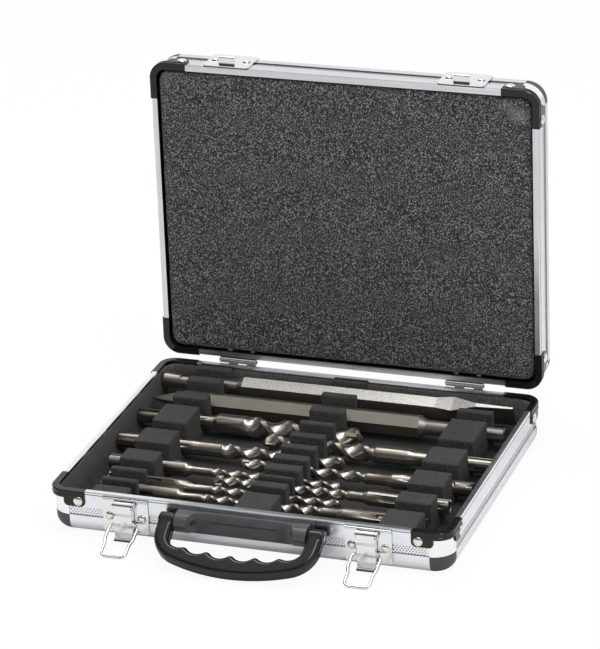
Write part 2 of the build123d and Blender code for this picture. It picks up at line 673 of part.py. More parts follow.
def drill(d):
    """Hammer drill in its place."""
    tip, tip_height = carbide_tip(d.diameter)
    flute_end = d.length - tip_height
    fluted = flute_end - d.plain
    turn = 360 * fluted / d.pitch
    neck = SHANK_LENGTH + NECK_LENGTH
    plain, core = d.diameter / 2 - PLAIN_RELIEF, WEB * d.diameter / 2 - RUNOUT_DIP
    body = shank() + turned([(SHANK / 2, SHANK_LENGTH), (plain, neck), (plain, d.plain),
                             (core, d.plain + RUNOUT * d.diameter)])
    flutes = Solid.extrude_linear_with_rotation(
        flute_section(d.diameter), (0, 0, 0), (0, 0, fluted), turn)
    body += Pos(0, 0, d.plain) * flutes
    body += Pos(0, 0, flute_end) * Rot(Z=turn) * tip
    place = Pos(d.shank_end, d.y, d.z) * Rot(Y=90 * d.facing) * Rot(Z=d.roll)
    return place * body


def hexagon(across, height):
    """Points of a hexagon with a flat toward +Y, at a height along Z."""
    corner = hex_corner_radius() * across / HEX
    return [(corner * cos(k * pi / 3), corner * sin(k * pi / 3), height) for k in range(6)]


def hex_loft(low, high):
    """Straight-sided solid between two rings of six points."""
    rings = [make_face(Polyline(*ring, close=True).edges()) for ring in (low, high)]
    return loft([r.face() for r in rings], ruled=True)


def chisel_body(length):
    """Shank, collar and hexagonal bar along +Z, up to a length."""
    neck = SHANK_LENGTH + NECK_LENGTH
    body = shank()
    body += Pos(0, 0, SHANK_LENGTH + NECK_LENGTH / 2) * Cone(SHANK / 2, HEX / 2, NECK_LENGTH)
    return body + hex_loft(hexagon(HEX, neck), hexagon(HEX, length))


def blade_ring(width, thickness, from_edge):
    """Points of the flattened hexagon of the blade, at a distance from its edge."""
    w, t = width / 2, thickness / 2
    outline = [(t * 1.15, 0), (t * 0.85, w), (-t * 0.85, w), (-t * 1.15, 0), (-t * 0.85, -w), (t * 0.85, -w)]
    return [(x, y, CHISEL_LENGTH - from_edge) for x, y in outline]


def flat_chisel():
    """Flat chisel, its blade at right angles to the flat on top."""
    start = CHISEL_LENGTH - BLADE_LENGTH
    rings = [hexagon(HEX, start), blade_ring(BLADE_SWELL_WIDTH, BLADE_SWELL_THICKNESS, BLADE_SWELL),
             blade_ring(BLADE_NECK_WIDTH, BLADE_NECK_THICKNESS, BLADE_NECK),
             blade_ring(BLADE_WIDTH, BLADE_THICKNESS, 0)]
    body = chisel_body(start)
    for low, high in zip(rings, rings[1:]):
        body += hex_loft(low, high)
    place = Pos(FLAT_CHISEL_END, row_y(FLAT_CHISEL_ROW), FLAT_CHISEL_Z) * Rot(Y=90)
    return place * Rot(Z=90 + FLAT_CHISEL_ROLL) * body


def point_chisel():
    """Point chisel, its point toward -X."""
    start = CHISEL_LENGTH - POINT_LENGTH
    point = hex_loft(hexagon(HEX, start), hexagon(POINT_FLAT, CHISEL_LENGTH))
    place = Pos(POINT_CHISEL_END, row_y(POINT_CHISEL_ROW), POINT_CHISEL_Z) * Rot(Y=-90)
    return place * Rot(Z=90 + POINT_CHISEL_ROLL) * (chisel_body(start) + point)


# --- Hinges -----------------------------------------------------------------
def knuckle_span(index):
    """Ends of one knuckle along X, from the hinge's centre."""
    start = -KNUCKLES * KNUCKLE_LENGTH / 2 + index * KNUCKLE_LENGTH
    return start + KNUCKLE_GAP / 2, start + KNUCKLE_LENGTH - KNUCKLE_GAP / 2


def hinge_leaf(x, axis_z, first):
    """Leaf on the rear face with every second knuckle; first is 0 or 1."""
    half = KNUCKLES * KNUCKLE_LENGTH / 2
    low = HALF_HEIGHT - LEAF_LENGTH
    high = axis_z - KNUCKLE / 2 - SEAT
    body = box((-half, half), (0, LEAF_THICKNESS), (low, high))
    body = fillet(body.edges().filter_by(Axis.Y).group_by(Axis.Z)[0], PLATE_CORNER)
    for index in range(first, KNUCKLES, 2):
        start, end = knuckle_span(index)
        body += box((start, end), (0, LEAF_THICKNESS), (high, axis_z))
        body += rod_x(KNUCKLE, start, end, HINGE_SETBACK, axis_z)
    body -= rod_x(HINGE_PIN + 2 * FIT, -half - 1, half + 1, HINGE_SETBACK, axis_z)
    body -= box((-half, half), (-KNUCKLE, 0), (low, axis_z + KNUCKLE))
    leaf = Pos(x, DEPTH / 2) * body
    back = side_frame("back")
    return pierce(leaf, [back * p for p in hinge_rivet_places()])


def hinge_pin(x):
    half = KNUCKLES * KNUCKLE_LENGTH / 2
    return rod_x(HINGE_PIN, x - half - 0.6, x + half + 0.6, HINGE_Y, HINGE_Z)


# --- Latches ----------------------------------------------------------------
def face_plate(x, low, high, width, thickness):
    """Flat plate with rounded corners on the front face."""
    outline = RectangleRounded(width, high - low, PLATE_CORNER)
    plate = extrude(Plane.XZ * outline, thickness)
    return Pos(x, FACE_Y, (low + high) / 2) * plate


def lever_axis():
    return FACE_Y - LEVER_PIVOT_OUT, LEVER_PIVOT_Z


def bail_axis():
    return FACE_Y - BAIL_PIVOT_OUT, BAIL_PIVOT_Z


def latch_plate(x):
    """Plate with a rolled bead and two ears for the lever's pin."""
    y, z = lever_axis()
    body = face_plate(x, LATCH_PLATE_LOW, LATCH_PLATE_HIGH, LATCH_PLATE_WIDTH, PLATE_THICKNESS)
    half = LATCH_PLATE_WIDTH / 2
    bead_z = LATCH_PLATE_HIGH - BEAD_RADIUS / 2
    body += rod_x(2 * BEAD_RADIUS, x - half, x + half, FACE_Y - BEAD_RADIUS, bead_z)
    for s in (-1, 1):
        inner = LEVER_WIDTH / 2 + EAR_GAP
        span = sorted((x + s * inner, x + s * (inner + EAR_THICKNESS)))
        eye = LEVER_KNUCKLE - 0.3
        body += box(span, (y, FACE_Y), (z - eye, z + eye)) + rod_x(2 * eye, *span, y, z)
    body -= rod_x(LEVER_PIN, x - half, x + half, y, z)
    front = side_frame("front")
    return pierce(body, [front * p for p in latch_rivet_places()])


def lever_pin(x):
    """Pin with a small head outside each ear."""
    y, z = lever_axis()
    outer = LEVER_WIDTH / 2 + EAR_GAP + EAR_THICKNESS
    pin = rod_x(LEVER_PIN, x - outer, x + outer, y, z)
    for s in (-1, 1):
        pin += rod_x(LEVER_PIN + 1.0, *sorted((x + s * outer, x + s * (outer + 0.4))), y, z)
    return pin


def latch_lever(x):
    """Folded lever: a web, two side flanges and a knuckle round the pin."""
    y, z = lever_axis()
    half = LEVER_WIDTH / 2
    web_y = y - LEVER_KNUCKLE + LEVER_SHEET / 2
    step = LEVER_STEP
    path = FilletPolyline(
        (web_y, z), (web_y, z - LEVER_STEP_START), (web_y + step, z - LEVER_STEP_END),
        (web_y + step, LEVER_TIP_Z + LEVER_CURL), (web_y - 0.6, LEVER_TIP_Z + 1.2),
        (web_y - 2.6, LEVER_TIP_Z + 0.6), radius=LEVER_BEND)
    sheet = trace(path, LEVER_SHEET)
    plane = Plane(origin=(x, 0, 0), x_dir=(0, 1, 0), z_dir=(1, 0, 0))
    body = extrude(plane * sheet, half, both=True)
    back = FACE_Y - PLATE_THICKNESS - LEVER_BACK_GAP
    inner = web_y + LEVER_SHEET / 4
    side = Polyline(
        (inner, z), (inner, z - LEVER_STEP_START), (inner + step, z - LEVER_STEP_END),
        (inner + step, LEVER_TIP_Z + LEVER_CURL + 0.5), (back, LEVER_TIP_Z + LEVER_FLANGE_RISE),
        (back, z), close=True)
    flange = extrude(Plane(origin=(x - half, 0, 0), x_dir=(0, 1, 0), z_dir=(1, 0, 0))
                     * make_face(side.edges()), LEVER_SHEET)
    body += flange + Pos(LEVER_WIDTH - LEVER_SHEET) * flange
    body += rod_x(2 * LEVER_KNUCKLE, x - half, x + half, y, z)
    body -= rod_x(LEVER_PIN + 2 * FIT, x - half - 1, x + half + 1, y, z)
    return body - rod_x(BAIL_WIRE + 2 * FIT, x - half - 1, x + half + 1, *bail_axis())


def bail_rest_angle():
    """Angle out from straight down at which the cross bar meets the floor."""
    drop = BAIL_PIVOT_Z - BAIL_WIRE / 2 - BAIL_FLOOR_GAP
    return degrees(acos(drop / BAIL_LENGTH))


def latch_bail(x):
    """Wire loop, its ends turned in through the lever's flanges."""
    stub = LEVER_WIDTH / 2 - LEVER_SHEET
    corner = (BAIL_SHOULDER, 0)
    path = FilletPolyline(
        (-stub, 0), (-BAIL_SHOULDER, 0), (-BAIL_SHOULDER, BAIL_LENGTH * 0.45),
        (-BAIL_END, BAIL_LENGTH * 0.6), (-BAIL_END, BAIL_LENGTH), (BAIL_END, BAIL_LENGTH),
        (BAIL_END, BAIL_LENGTH * 0.6), (BAIL_SHOULDER, BAIL_LENGTH * 0.45), corner,
        (stub, 0), radius=BAIL_BEND)
    start = Plane(origin=(-stub, 0, 0), z_dir=(-1, 0, 0))
    wire = sweep(start * Circle(BAIL_WIRE / 2), path=path)
    angle = radians(bail_rest_angle())
    y, z = bail_axis()
    hang = Vector(0, -sin(angle), -cos(angle))
    plane = Plane(origin=(x, y, z), x_dir=(1, 0, 0), z_dir=Vector(1, 0, 0).cross(hang))
    return plane * wire


def keeper(x):
    """Plate with a hook for the bail, as a base twin."""
    body = face_plate(x, LATCH_PLATE_LOW, LATCH_PLATE_HIGH, LATCH_PLATE_WIDTH + 1, PLATE_THICKNESS)
    closed_bar = BAIL_PIVOT_Z + BAIL_LENGTH
    bar_z = 2 * HALF_HEIGHT + RIM_GAP - closed_bar
    shelf = bar_z + BAIL_WIRE / 2 + SEAT
    half = HOOK_WIDTH / 2
    reach = FACE_Y - HOOK_REACH
    hook = box((x - half, x + half), (reach, FACE_Y), (shelf, shelf + 1.2))
    hook += box((x - half, x + half), (reach, reach + 1.2), (shelf - HOOK_LIP, shelf + 1.2))
    outer = hook.edges().filter_by(Axis.X).sort_by(Axis.Y)[0:2].sort_by(Axis.Z)[-1]
    hook = fillet(outer, 1.0)
    front = side_frame("front")
    return pierce(body + hook, [front * p for p in latch_rivet_places()])


# --- Handle -----------------------------------------------------------------
def handle_rest_angle():
    """Angle below level at which the grip rests on the floor."""
    arm = HANDLE_REACH - HANDLE_EDGE
    side = HANDLE_THICKNESS / 2 - HANDLE_EDGE
    drop = HANDLE_PIVOT_Z - HANDLE_EDGE - HANDLE_FLOOR_GAP
    return degrees(asin(drop / hypot(arm, side)) - atan(side / arm))


def handle_outline():
    """Outline in the handle's plane: x along the case, y away from the pins."""
    half = HANDLE_HALF_WIDTH
    inner = half - HANDLE_ARM
    shoulder = (HANDLE_SHOULDER, HANDLE_SHOULDER_REACH)
    crown = ThreePointArc((-shoulder[0], shoulder[1]), (0, HANDLE_REACH), shoulder)
    right = TangentArc(shoulder, (half, HANDLE_STRAIGHT), tangent=crown % 1)
    left = mirror(right, Plane.YZ)
    arms = Polyline((half, HANDLE_STRAIGHT), (half, 0), (-half, 0), (-half, HANDLE_STRAIGHT))
    body = make_face(crown.edges() + right.edges() + arms.edges() + left.edges())
    end_x = inner - FINGER_RADIUS
    end_y = FINGER_REACH[-1] - FINGER_RADIUS
    window = Pos(0, end_y / 2 - 0.5) * Rectangle(2 * inner, end_y + 1)
    for x, reach in zip((FINGER_PITCH / 2, FINGER_PITCH * 1.5, end_x), FINGER_REACH):
        for s in (-1, 1):
            window += Pos(s * x, reach - FINGER_RADIUS) * Circle(FINGER_RADIUS)
    rounded = offset(offset(window, FINGER_RIDGE), -FINGER_RIDGE)
    return body - rounded


def handle_axis():
    return FACE_Y - HANDLE_PIVOT_OUT, HANDLE_PIVOT_Z


def handle():
    """Moulded handle with finger grips and an eye at each end."""
    thick = HANDLE_THICKNESS / 2
    grip = extrude(handle_outline(), thick, both=True)
    rims = grip.edges().filter_by(lambda e: abs(abs(e.center().Z) - thick) < 0.01 and e.center().Y > 0.1)
    grip = fillet(rims, HANDLE_EDGE)
    half = HANDLE_HALF_WIDTH
    inner = half - HANDLE_ARM
    for s in (-1, 1):
        grip += rod_x(2 * HANDLE_EYE, *sorted((s * inner, s * half)))
    grip -= rod_x(HANDLE_PIN + 2 * FIT, -half - 1, half + 1)
    angle = radians(handle_rest_angle())
    away = Vector(0, -cos(angle), -sin(angle))
    plane = Plane(origin=(0, *handle_axis()), x_dir=(1, 0, 0), z_dir=Vector(1, 0, 0).cross(away))
    return plane * grip


def handle_backplate():
    """Plate on the front face, with a round bar that is scooped out between the bosses."""
    y, z = handle_axis()
    body = face_plate(0, BACKPLATE_LOW, BACKPLATE_HIGH, 2 * BACKPLATE_HALF_WIDTH, BACKPLATE_THICKNESS)
    span = (-BOSS_OUTER, BOSS_OUTER)
    bar = rod_x(2 * BOSS_RADIUS, *span, y, z)
    bar += box(span, (y, FACE_Y - BACKPLATE_THICKNESS / 2), (z - BOSS_RADIUS, z + BOSS_RADIUS))
    bottom = FACE_Y - BACKPLATE_THICKNESS - PANEL_RISE
    front = y - BOSS_RADIUS - SCOOP_RADIUS
    scoop = box((-BOSS_INNER, BOSS_INNER), (front, bottom), (z - 2 * BOSS_RADIUS, z + 2 * BOSS_RADIUS))
    scoop = fillet(scoop.edges().filter_by(Axis.Z).group_by(Axis.Y)[-1], SCOOP_RADIUS)
    groove = extrude(Plane.XZ * SlotOverall(2 * PANEL_SLOT_HALF, PANEL_SLOT_WIDTH), PANEL_SLOT_DEPTH, both=True)
    bar -= scoop + Pos(0, bottom, HALF_HEIGHT - PANEL_SLOT_DROP) * groove
    return body + bar - rod_x(HANDLE_PIN, -BOSS_OUTER - 1, BOSS_OUTER + 1, y, z)


def handle_pin(s):
    """Pin from inside the boss to the outer end of the eye."""
    y, z = handle_axis()
    return rod_x(HANDLE_PIN, *sorted((s * BOSS_INNER, s * HANDLE_HALF_WIDTH)), y, z)


# --- Build ------------------------------------------------------------------
def build_shell(prefix, place, hinge_tail):
    """Export the frame of one half shell, placed by a function."""
    for side in SIDES:
        export(f"{prefix}_rail_{side}", place(rail(side)))
    export(f"{prefix}_panel", place(panel()))
    for corner in CORNERS:
        export(f"{prefix}_rim_corner_{corner}", place(corner_frame(corner) * rim_corner()))
    export(f"{prefix}_corner_plates", *[place(corner_frame(c) * corner_plate()) for c in CORNERS])
    export(f"{prefix}_ball_corners", *[place(corner_frame(c) * ball_corner()) for c in CORNERS])
    export(f"{prefix}_rivets", *[place(r) for r in rivets(hinge_tail)])


def as_base(shape):
    return shape


build_shell("base", as_base, 0.0)
build_shell("lid", as_lid, TAIL_LENGTH)
export("foam_tray", foam_tray())
export("lid_foam", as_lid(lid_foam()))
for comb_name in COMB_CENTRES:
    export(comb_name, comb(comb_name))

export("flat_chisel", flat_chisel())
export("point_chisel", point_chisel())
for one in DRILLS:
    export(one.name, drill(one))

LID_AXIS_Z = 2 * HALF_HEIGHT + RIM_GAP - HINGE_Z
for hand, sign in (("left", -1), ("right", 1)):
    export(f"{hand}_hinge_base_leaf", hinge_leaf(sign * HINGE_X, HINGE_Z, 1))
    export(f"{hand}_hinge_lid_leaf", as_lid(hinge_leaf(sign * HINGE_X, LID_AXIS_Z, 0)))
    export(f"{hand}_hinge_pin", hinge_pin(sign * HINGE_X))
    export(f"{hand}_latch_plate", latch_plate(sign * LATCH_X))
    export(f"{hand}_latch_lever", latch_lever(sign * LATCH_X))
    export(f"{hand}_latch_bail", latch_bail(sign * LATCH_X))
    export(f"{hand}_lever_pin", lever_pin(sign * LATCH_X))
    export(f"{hand}_keeper", as_lid(keeper(sign * LATCH_X)))

export("handle", handle())
export("handle_backplate", handle_backplate())
export("handle_pins", handle_pin(-1), handle_pin(1))
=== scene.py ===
"""Finishes, foam, rivets and studio for a hinged drill bit case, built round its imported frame."""
from math import cos, pi, radians, sin

import bmesh
import bpy
import numpy as np
from bpy.props import FloatProperty, FloatVectorProperty, IntProperty, PointerProperty
from mathutils import Matrix, Vector, noise


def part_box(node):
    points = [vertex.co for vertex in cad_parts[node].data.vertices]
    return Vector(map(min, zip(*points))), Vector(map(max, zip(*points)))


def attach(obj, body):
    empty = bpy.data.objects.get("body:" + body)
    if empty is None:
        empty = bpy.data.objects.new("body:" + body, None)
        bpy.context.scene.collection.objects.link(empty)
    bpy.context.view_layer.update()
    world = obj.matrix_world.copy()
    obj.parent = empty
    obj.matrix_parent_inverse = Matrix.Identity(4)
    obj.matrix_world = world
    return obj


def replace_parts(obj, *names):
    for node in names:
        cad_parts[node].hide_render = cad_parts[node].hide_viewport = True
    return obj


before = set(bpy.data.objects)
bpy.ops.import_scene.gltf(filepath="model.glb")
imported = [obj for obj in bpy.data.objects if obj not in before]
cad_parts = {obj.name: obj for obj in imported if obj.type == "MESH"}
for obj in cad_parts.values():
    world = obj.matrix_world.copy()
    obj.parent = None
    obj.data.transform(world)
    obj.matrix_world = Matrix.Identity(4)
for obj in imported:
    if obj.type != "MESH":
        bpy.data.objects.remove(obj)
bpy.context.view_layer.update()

bl_info = {
    "name": "Drill Bit Case",
    "version": (1, 0, 0),
    "blender": (4, 5, 0),
    "location": "3D View > Sidebar > Drill Case",
    "description": "Dresses a hinged drill bit case: metal, mouldings, foam, tools and studio",
    "category": "Object",
}

MM = 0.001
SIDES = ("front", "right", "back", "left")
HALVES = ("base", "lid")
HANDS = ("left", "right")
COMBS = ("left_comb", "centre_comb", "right_comb")
SHARED_CORNER = 1e-6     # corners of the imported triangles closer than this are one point
SHARP = radians(24)      # a tool's edges that turn by more than this are drawn sharp
HANDLE_VOXEL, HANDLE_ROUNDS = 0.7 * MM, 9      # remeshing and easing of the handle's edges

# Each drill: which way its tip points along X, its length in mm from the shank end to the flutes, and
# the pitch of its flutes in mm. The number in its name is its diameter in mm.
DRILLS = {
    "long_drill_14": (1, 76.0, 45.0),
    "long_drill_10": (1, 74.0, 36.0),
    "long_drill_6_rear": (1, 72.0, 28.0),
    "long_drill_6_front": (1, 72.0, 26.0),
    "short_drill_6": (1, 70.0, 25.0),
    "long_drill_12": (-1, 80.0, 40.0),
    "long_drill_8": (-1, 72.0, 33.0),
    "long_drill_7": (-1, 67.0, 24.0),
    "short_drill_8": (-1, 68.0, 26.0),
}
# Turned places of a tool's shank, in metres from its end.
RING_AT = 0.0415                     # ring mark of a drill
NECK_AT = 0.0563                     # ground neck of a drill
CHISEL_NECK_AT = 0.0565
CHISEL_TURNED = (0.0535, 0.0545)     # where the turned shank gives way to the forged bar
LEVER_TIP_SHADE = (0.0008, 0.0016)        # painted reflection: a dark band on the rolled edge of a latch lever, above its lower end
COMB_TOPS = (0.0280, 0.0290)         # heights above which the combs are scuffed
TRAY_PAINTED_SHADE = (0.006, 0.016)          # heights below which the tray takes painted shade, darker towards its floor

# Wear, a crease and the crease's painted shade on the lid pad near its upper right corner, in metres: each
# place by its distance from the right edge and from the top, except the far one, which is measured from the
# left edge.
WORN, UPPER, FOLD, FAR = (0.009, 0.012), (0.018, 0.006), (0.009, 0.021), (0.004, 0.003)
BULGE_RISE, BULGE_REACH = 0.0014, 0.009
CREASE_DEPTH, CREASE_WIDTH, CREASE_REACH = 0.0012, 0.0035, 0.012
CREASE_FACING = (0.60, 0.80)         # across the crease, along X and Z
PAD_INSET = 0.0001


# --- Settings ---
def length(name, description, default):
    return FloatProperty(name=name, description=description, default=default * MM, unit="LENGTH", precision=5)


def colour(name, description, default):
    return FloatVectorProperty(name=name, description=description, default=default, size=3,
                               subtype="COLOR", min=0.0, max=1.0)


def angle(name, description, default):
    return FloatProperty(name=name, description=description, default=radians(default), subtype="ANGLE")


def number(name, description, default, **kind):
    return FloatProperty(name=name, description=description, default=default, **kind)


class CaseSizes(bpy.types.PropertyGroup):
    """Sizes of the case that the dressing follows."""
    width: length("Width", "Outside width of the case", 269.0)
    depth: length("Depth", "Outside depth of the case", 209.2)
    half_height: length("Half height", "Height of one half shell", 30.3)
    rim_gap: length("Rim gap", "Gap between the rims of the closed case", 0.3)
    hinge_setback: length("Hinge setback", "Hinge axis behind the rear face", 2.2)
    hinge_rise: length("Hinge rise", "Hinge axis above the base rim", 1.6)
    opening: angle("Opening", "Angle of the open lid", 91.4)
    corner_radius: length("Corner radius", "Radius of the ball corners in plan", 13.6)


class RivetSizes(bpy.types.PropertyGroup):
    """Sizes and places of the rivets."""
    head: length("Head", "Head diameter of the corner rivets", 6.5)
    latch_head: length("Latch head", "Head diameter of the latch rivets", 5.6)
    rise: length("Rise", "Height of a head", 1.4)
    flap: length("Flap", "Thickness of the corner flap below a head", 0.9)
    plate: length("Plate", "Thickness of a latch plate or hinge leaf", 1.0)
    wall: length("Wall", "Thickness of the rail", 2.0)
    corner_inset: length("Corner inset", "Corner rivet from the next side", 20.5)
    corner_drop: length("Corner drop", "Corner rivet below the rim", 6.8)
    latch_x: length("Latch position", "Middle of a latch from the centre", 81.5)
    latch_spacing: length("Latch spacing", "Distance between the two rivets of a latch", 22.0)
    hinge_x: length("Hinge position", "Middle of a hinge from the centre", 81.0)
    hinge_spacing: length("Hinge spacing", "Distance between the two rivets of a hinge", 16.0)
    hinge_drop: length("Hinge drop", "Hinge rivet below the rim", 8.0)
    tail: length("Tail", "Diameter of the set tails inside the lid", 4.0)
    tail_rise: length("Tail rise", "Height of a set tail", 2.6)


class StripPattern(bpy.types.PropertyGroup):
    """Rolled pattern in the recessed strip of the rails."""
    low: length("Low edge", "Lower edge of the strip", 13.1)
    high: length("High edge", "Upper edge of the strip", 19.0)
    recess: length("Recess", "Depth of the strip below the face", 0.7)
    rows: IntProperty(name="Rows", description="Rows of marks across the strip", default=4, min=1, max=8)
    pitch: length("Pitch", "Distance between marks in a row", 2.1)
    mark_length: length("Mark length", "Length of one mark", 0.9)
    mark_width: length("Mark width", "Width of one mark", 0.85)
    mark_rise: length("Mark rise", "Height of one mark", 0.1)
    slant: angle("Slant", "Turn of a mark from the line of the rail", 45)
    end_gap: length("End gap", "From the end of a rolled pattern to the corner", 1.2)
    seat: length("Seat", "Foot of a mark above the floor of the strip", 0.02)


class FoamSettings(bpy.types.PropertyGroup):
    """Shape and colour of the foam."""
    pad_voxel: length("Pad voxel", "Remesh size of the lid pad", 1.9)
    tray_voxel: length("Tray voxel", "Remesh size of the tray", 1.7)
    comb_voxel: length("Comb voxel", "Remesh size of the combs", 0.9)
    pad_crown: length("Pad crown", "How far the middle of the pad stands up", 0.35)
    pad_wobble: length("Pad wobble", "Unevenness of the pad's cut face", 0.22)
    comb_wobble: length("Comb wobble", "Unevenness of the cut faces in the base", 0.16)
    pad_colour: colour("Pad colour", "Cut face of the lid pad", (0.040, 0.038, 0.041))
    fleck_colour: colour("Fleck colour", "Light cell walls in the foam", (0.80, 0.79, 0.79))
    pore_colour: colour("Pore colour", "Open cells in the foam", (0.006, 0.006, 0.006))
    comb_colour: colour("Comb colour", "Foam of the combs", (0.046, 0.045, 0.045))
    tray_colour: colour("Tray colour", "Lining of the base", (0.14, 0.136, 0.136))
    scuff_colour: colour("Scuff colour", "Rubbed places on the combs", (0.20, 0.20, 0.20))


class MetalColours(bpy.types.PropertyGroup):
    """Colours of the metals."""
    aluminium: colour("Aluminium", "Rails", (0.87, 0.88, 0.90))
    chrome: colour("Chrome", "Latches and keepers", (0.80, 0.80, 0.81))
    rivet: colour("Rivet", "Rivet heads", (0.80, 0.77, 0.66))
    drill: colour("Drill steel", "Blasted bodies of the drills", (0.34, 0.31, 0.27))
    ground: colour("Ground steel", "Ground flutes and turned necks", (0.56, 0.535, 0.50))
    braze: colour("Braze", "Brazing at the carbide tips", (0.52, 0.42, 0.27))
    chisel: colour("Chisel steel", "Bodies of the chisels", (0.33, 0.305, 0.26))
    bright_chisel: colour("Bright chisel", "Body of the flat chisel", (0.60, 0.585, 0.55))
    hinge: colour("Hinge metal", "Hinge leaves", (0.70, 0.70, 0.71))
    pin: colour("Pin metal", "Pins of the hinges and levers", (0.62, 0.62, 0.63))


class PlasticColours(bpy.types.PropertyGroup):
    """Colours of the mouldings."""
    gloss: colour("Gloss black", "Rim corners and handle", (0.010, 0.010, 0.011))
    ball: colour("Ball corner", "Lower corners", (0.045, 0.045, 0.048))
    backplate: colour("Backplate", "Plate behind the handle", (0.082, 0.083, 0.088))


class StudioSettings(bpy.types.PropertyGroup):
    """Camera and lamps."""
    lens: number("Lens", "Focal length", 203.1, unit="CAMERA")
    shift_x: number("Shift X", "Sideways shift of the picture", 0.019)
    shift_y: number("Shift Y", "Upward shift of the picture", -0.007)
    turn: angle("Turn", "Camera to the right of the front", 20.386)
    rise: angle("Rise", "Camera above level", 23.739)
    roll: angle("Roll", "Camera roll", -2.789)
    place: FloatVectorProperty(name="Place", description="Camera position", subtype="TRANSLATION",
                               default=(0.749485, -2.027704, 1.067765))
    sky: number("Sky", "Even light from all round", 0.68, min=0.0)
    front: number("Front", "Brightness of the room in front, as metal mirrors it", 0.12)
    key: number("Key", "Power of the lamp overhead", 9.0, min=0.0, unit="POWER")
    fill: number("Fill", "Power of the lamp at the side", 2.0, min=0.0, unit="POWER")


GROUPS = {"sizes": CaseSizes, "rivets": RivetSizes, "strip": StripPattern, "foam": FoamSettings,
          "metal": MetalColours, "plastic": PlasticColours, "studio": StudioSettings}


class CaseSettings(bpy.types.PropertyGroup):
    """All settings of the drill bit case."""
    sizes: PointerProperty(type=CaseSizes)
    rivets: PointerProperty(type=RivetSizes)
    strip: PointerProperty(type=StripPattern)
    foam: PointerProperty(type=FoamSettings)
    metal: PointerProperty(type=MetalColours)
    plastic: PointerProperty(type=PlasticColours)
    studio: PointerProperty(type=StudioSettings)


def settings():
    return bpy.context.scene.drill_case


# --- Node trees ---
class Wire:
    """An output socket that takes part in sums written in Python."""

    def __init__(self, graph, socket):
        self.graph, self.socket = graph, socket

    def math(self, operation, first, second=0.0):
        return self.graph.node("ShaderNodeMath", {"operation": operation}, {0: first, 1: second})

    def __add__(self, other):
        return self.math("ADD", self, other)

    def __sub__(self, other):
        return self.math("SUBTRACT", self, other)

    def __rsub__(self, other):
        return self.math("SUBTRACT", other, self)

    def __mul__(self, other):
        return self.math("MULTIPLY", self, other)

    def __pow__(self, other):
        return self.math("POWER", self, other)

    def __abs__(self):
        return self.math("ABSOLUTE", self)

    def at(self, output):
        """Another output of the same node."""
        return Wire(self.graph, self.socket.node.outputs[output])

    __radd__ = __add__
    __rmul__ = __mul__


class Graph:
    """Adds nodes to one tree."""

    def __init__(self, tree):
        self.tree = tree

    def node(self, kind, choices=None, sockets=None, out=0):
        """Add a node: its settings first, then the values or links of its sockets."""
        made = self.tree.nodes.new(kind)
        for name, value in (choices or {}).items():
            setattr(made, name, value)
        for key, value in (sockets or {}).items():
            if isinstance(value, Wire):
                self.tree.links.new(value.socket, made.inputs[key])
            else:
                made.inputs[key].default_value = value
        return Wire(self, made.outputs[out])

    def attribute(self, name, kind="FLOAT"):
        """A value that the source mesh holds on its points."""
        return self.node("GeometryNodeInputNamedAttribute", {"data_type": kind}, {"Name": name})

    def part(self, vector, letter):
        return self.node("ShaderNodeSeparateXYZ", None, {0: vector}, out=letter)

    def vector(self, x, y, z):
        return self.node("ShaderNodeCombineXYZ", None, {0: x, 1: y, 2: z})

    def fade(self, value, low, high, start=0.0, end=1.0):
        """Clamped change from start to end while value goes from low to high."""
        return self.node("ShaderNodeMapRange", {"interpolation_type": "SMOOTHSTEP"}, {
            "Value": value, "From Min": low, "From Max": high, "To Min": start, "To Max": end})

    def fall(self, value, low, high):
        """1 up to low, 0 from high."""
        return self.fade(value, low, high, 1.0, 0.0)


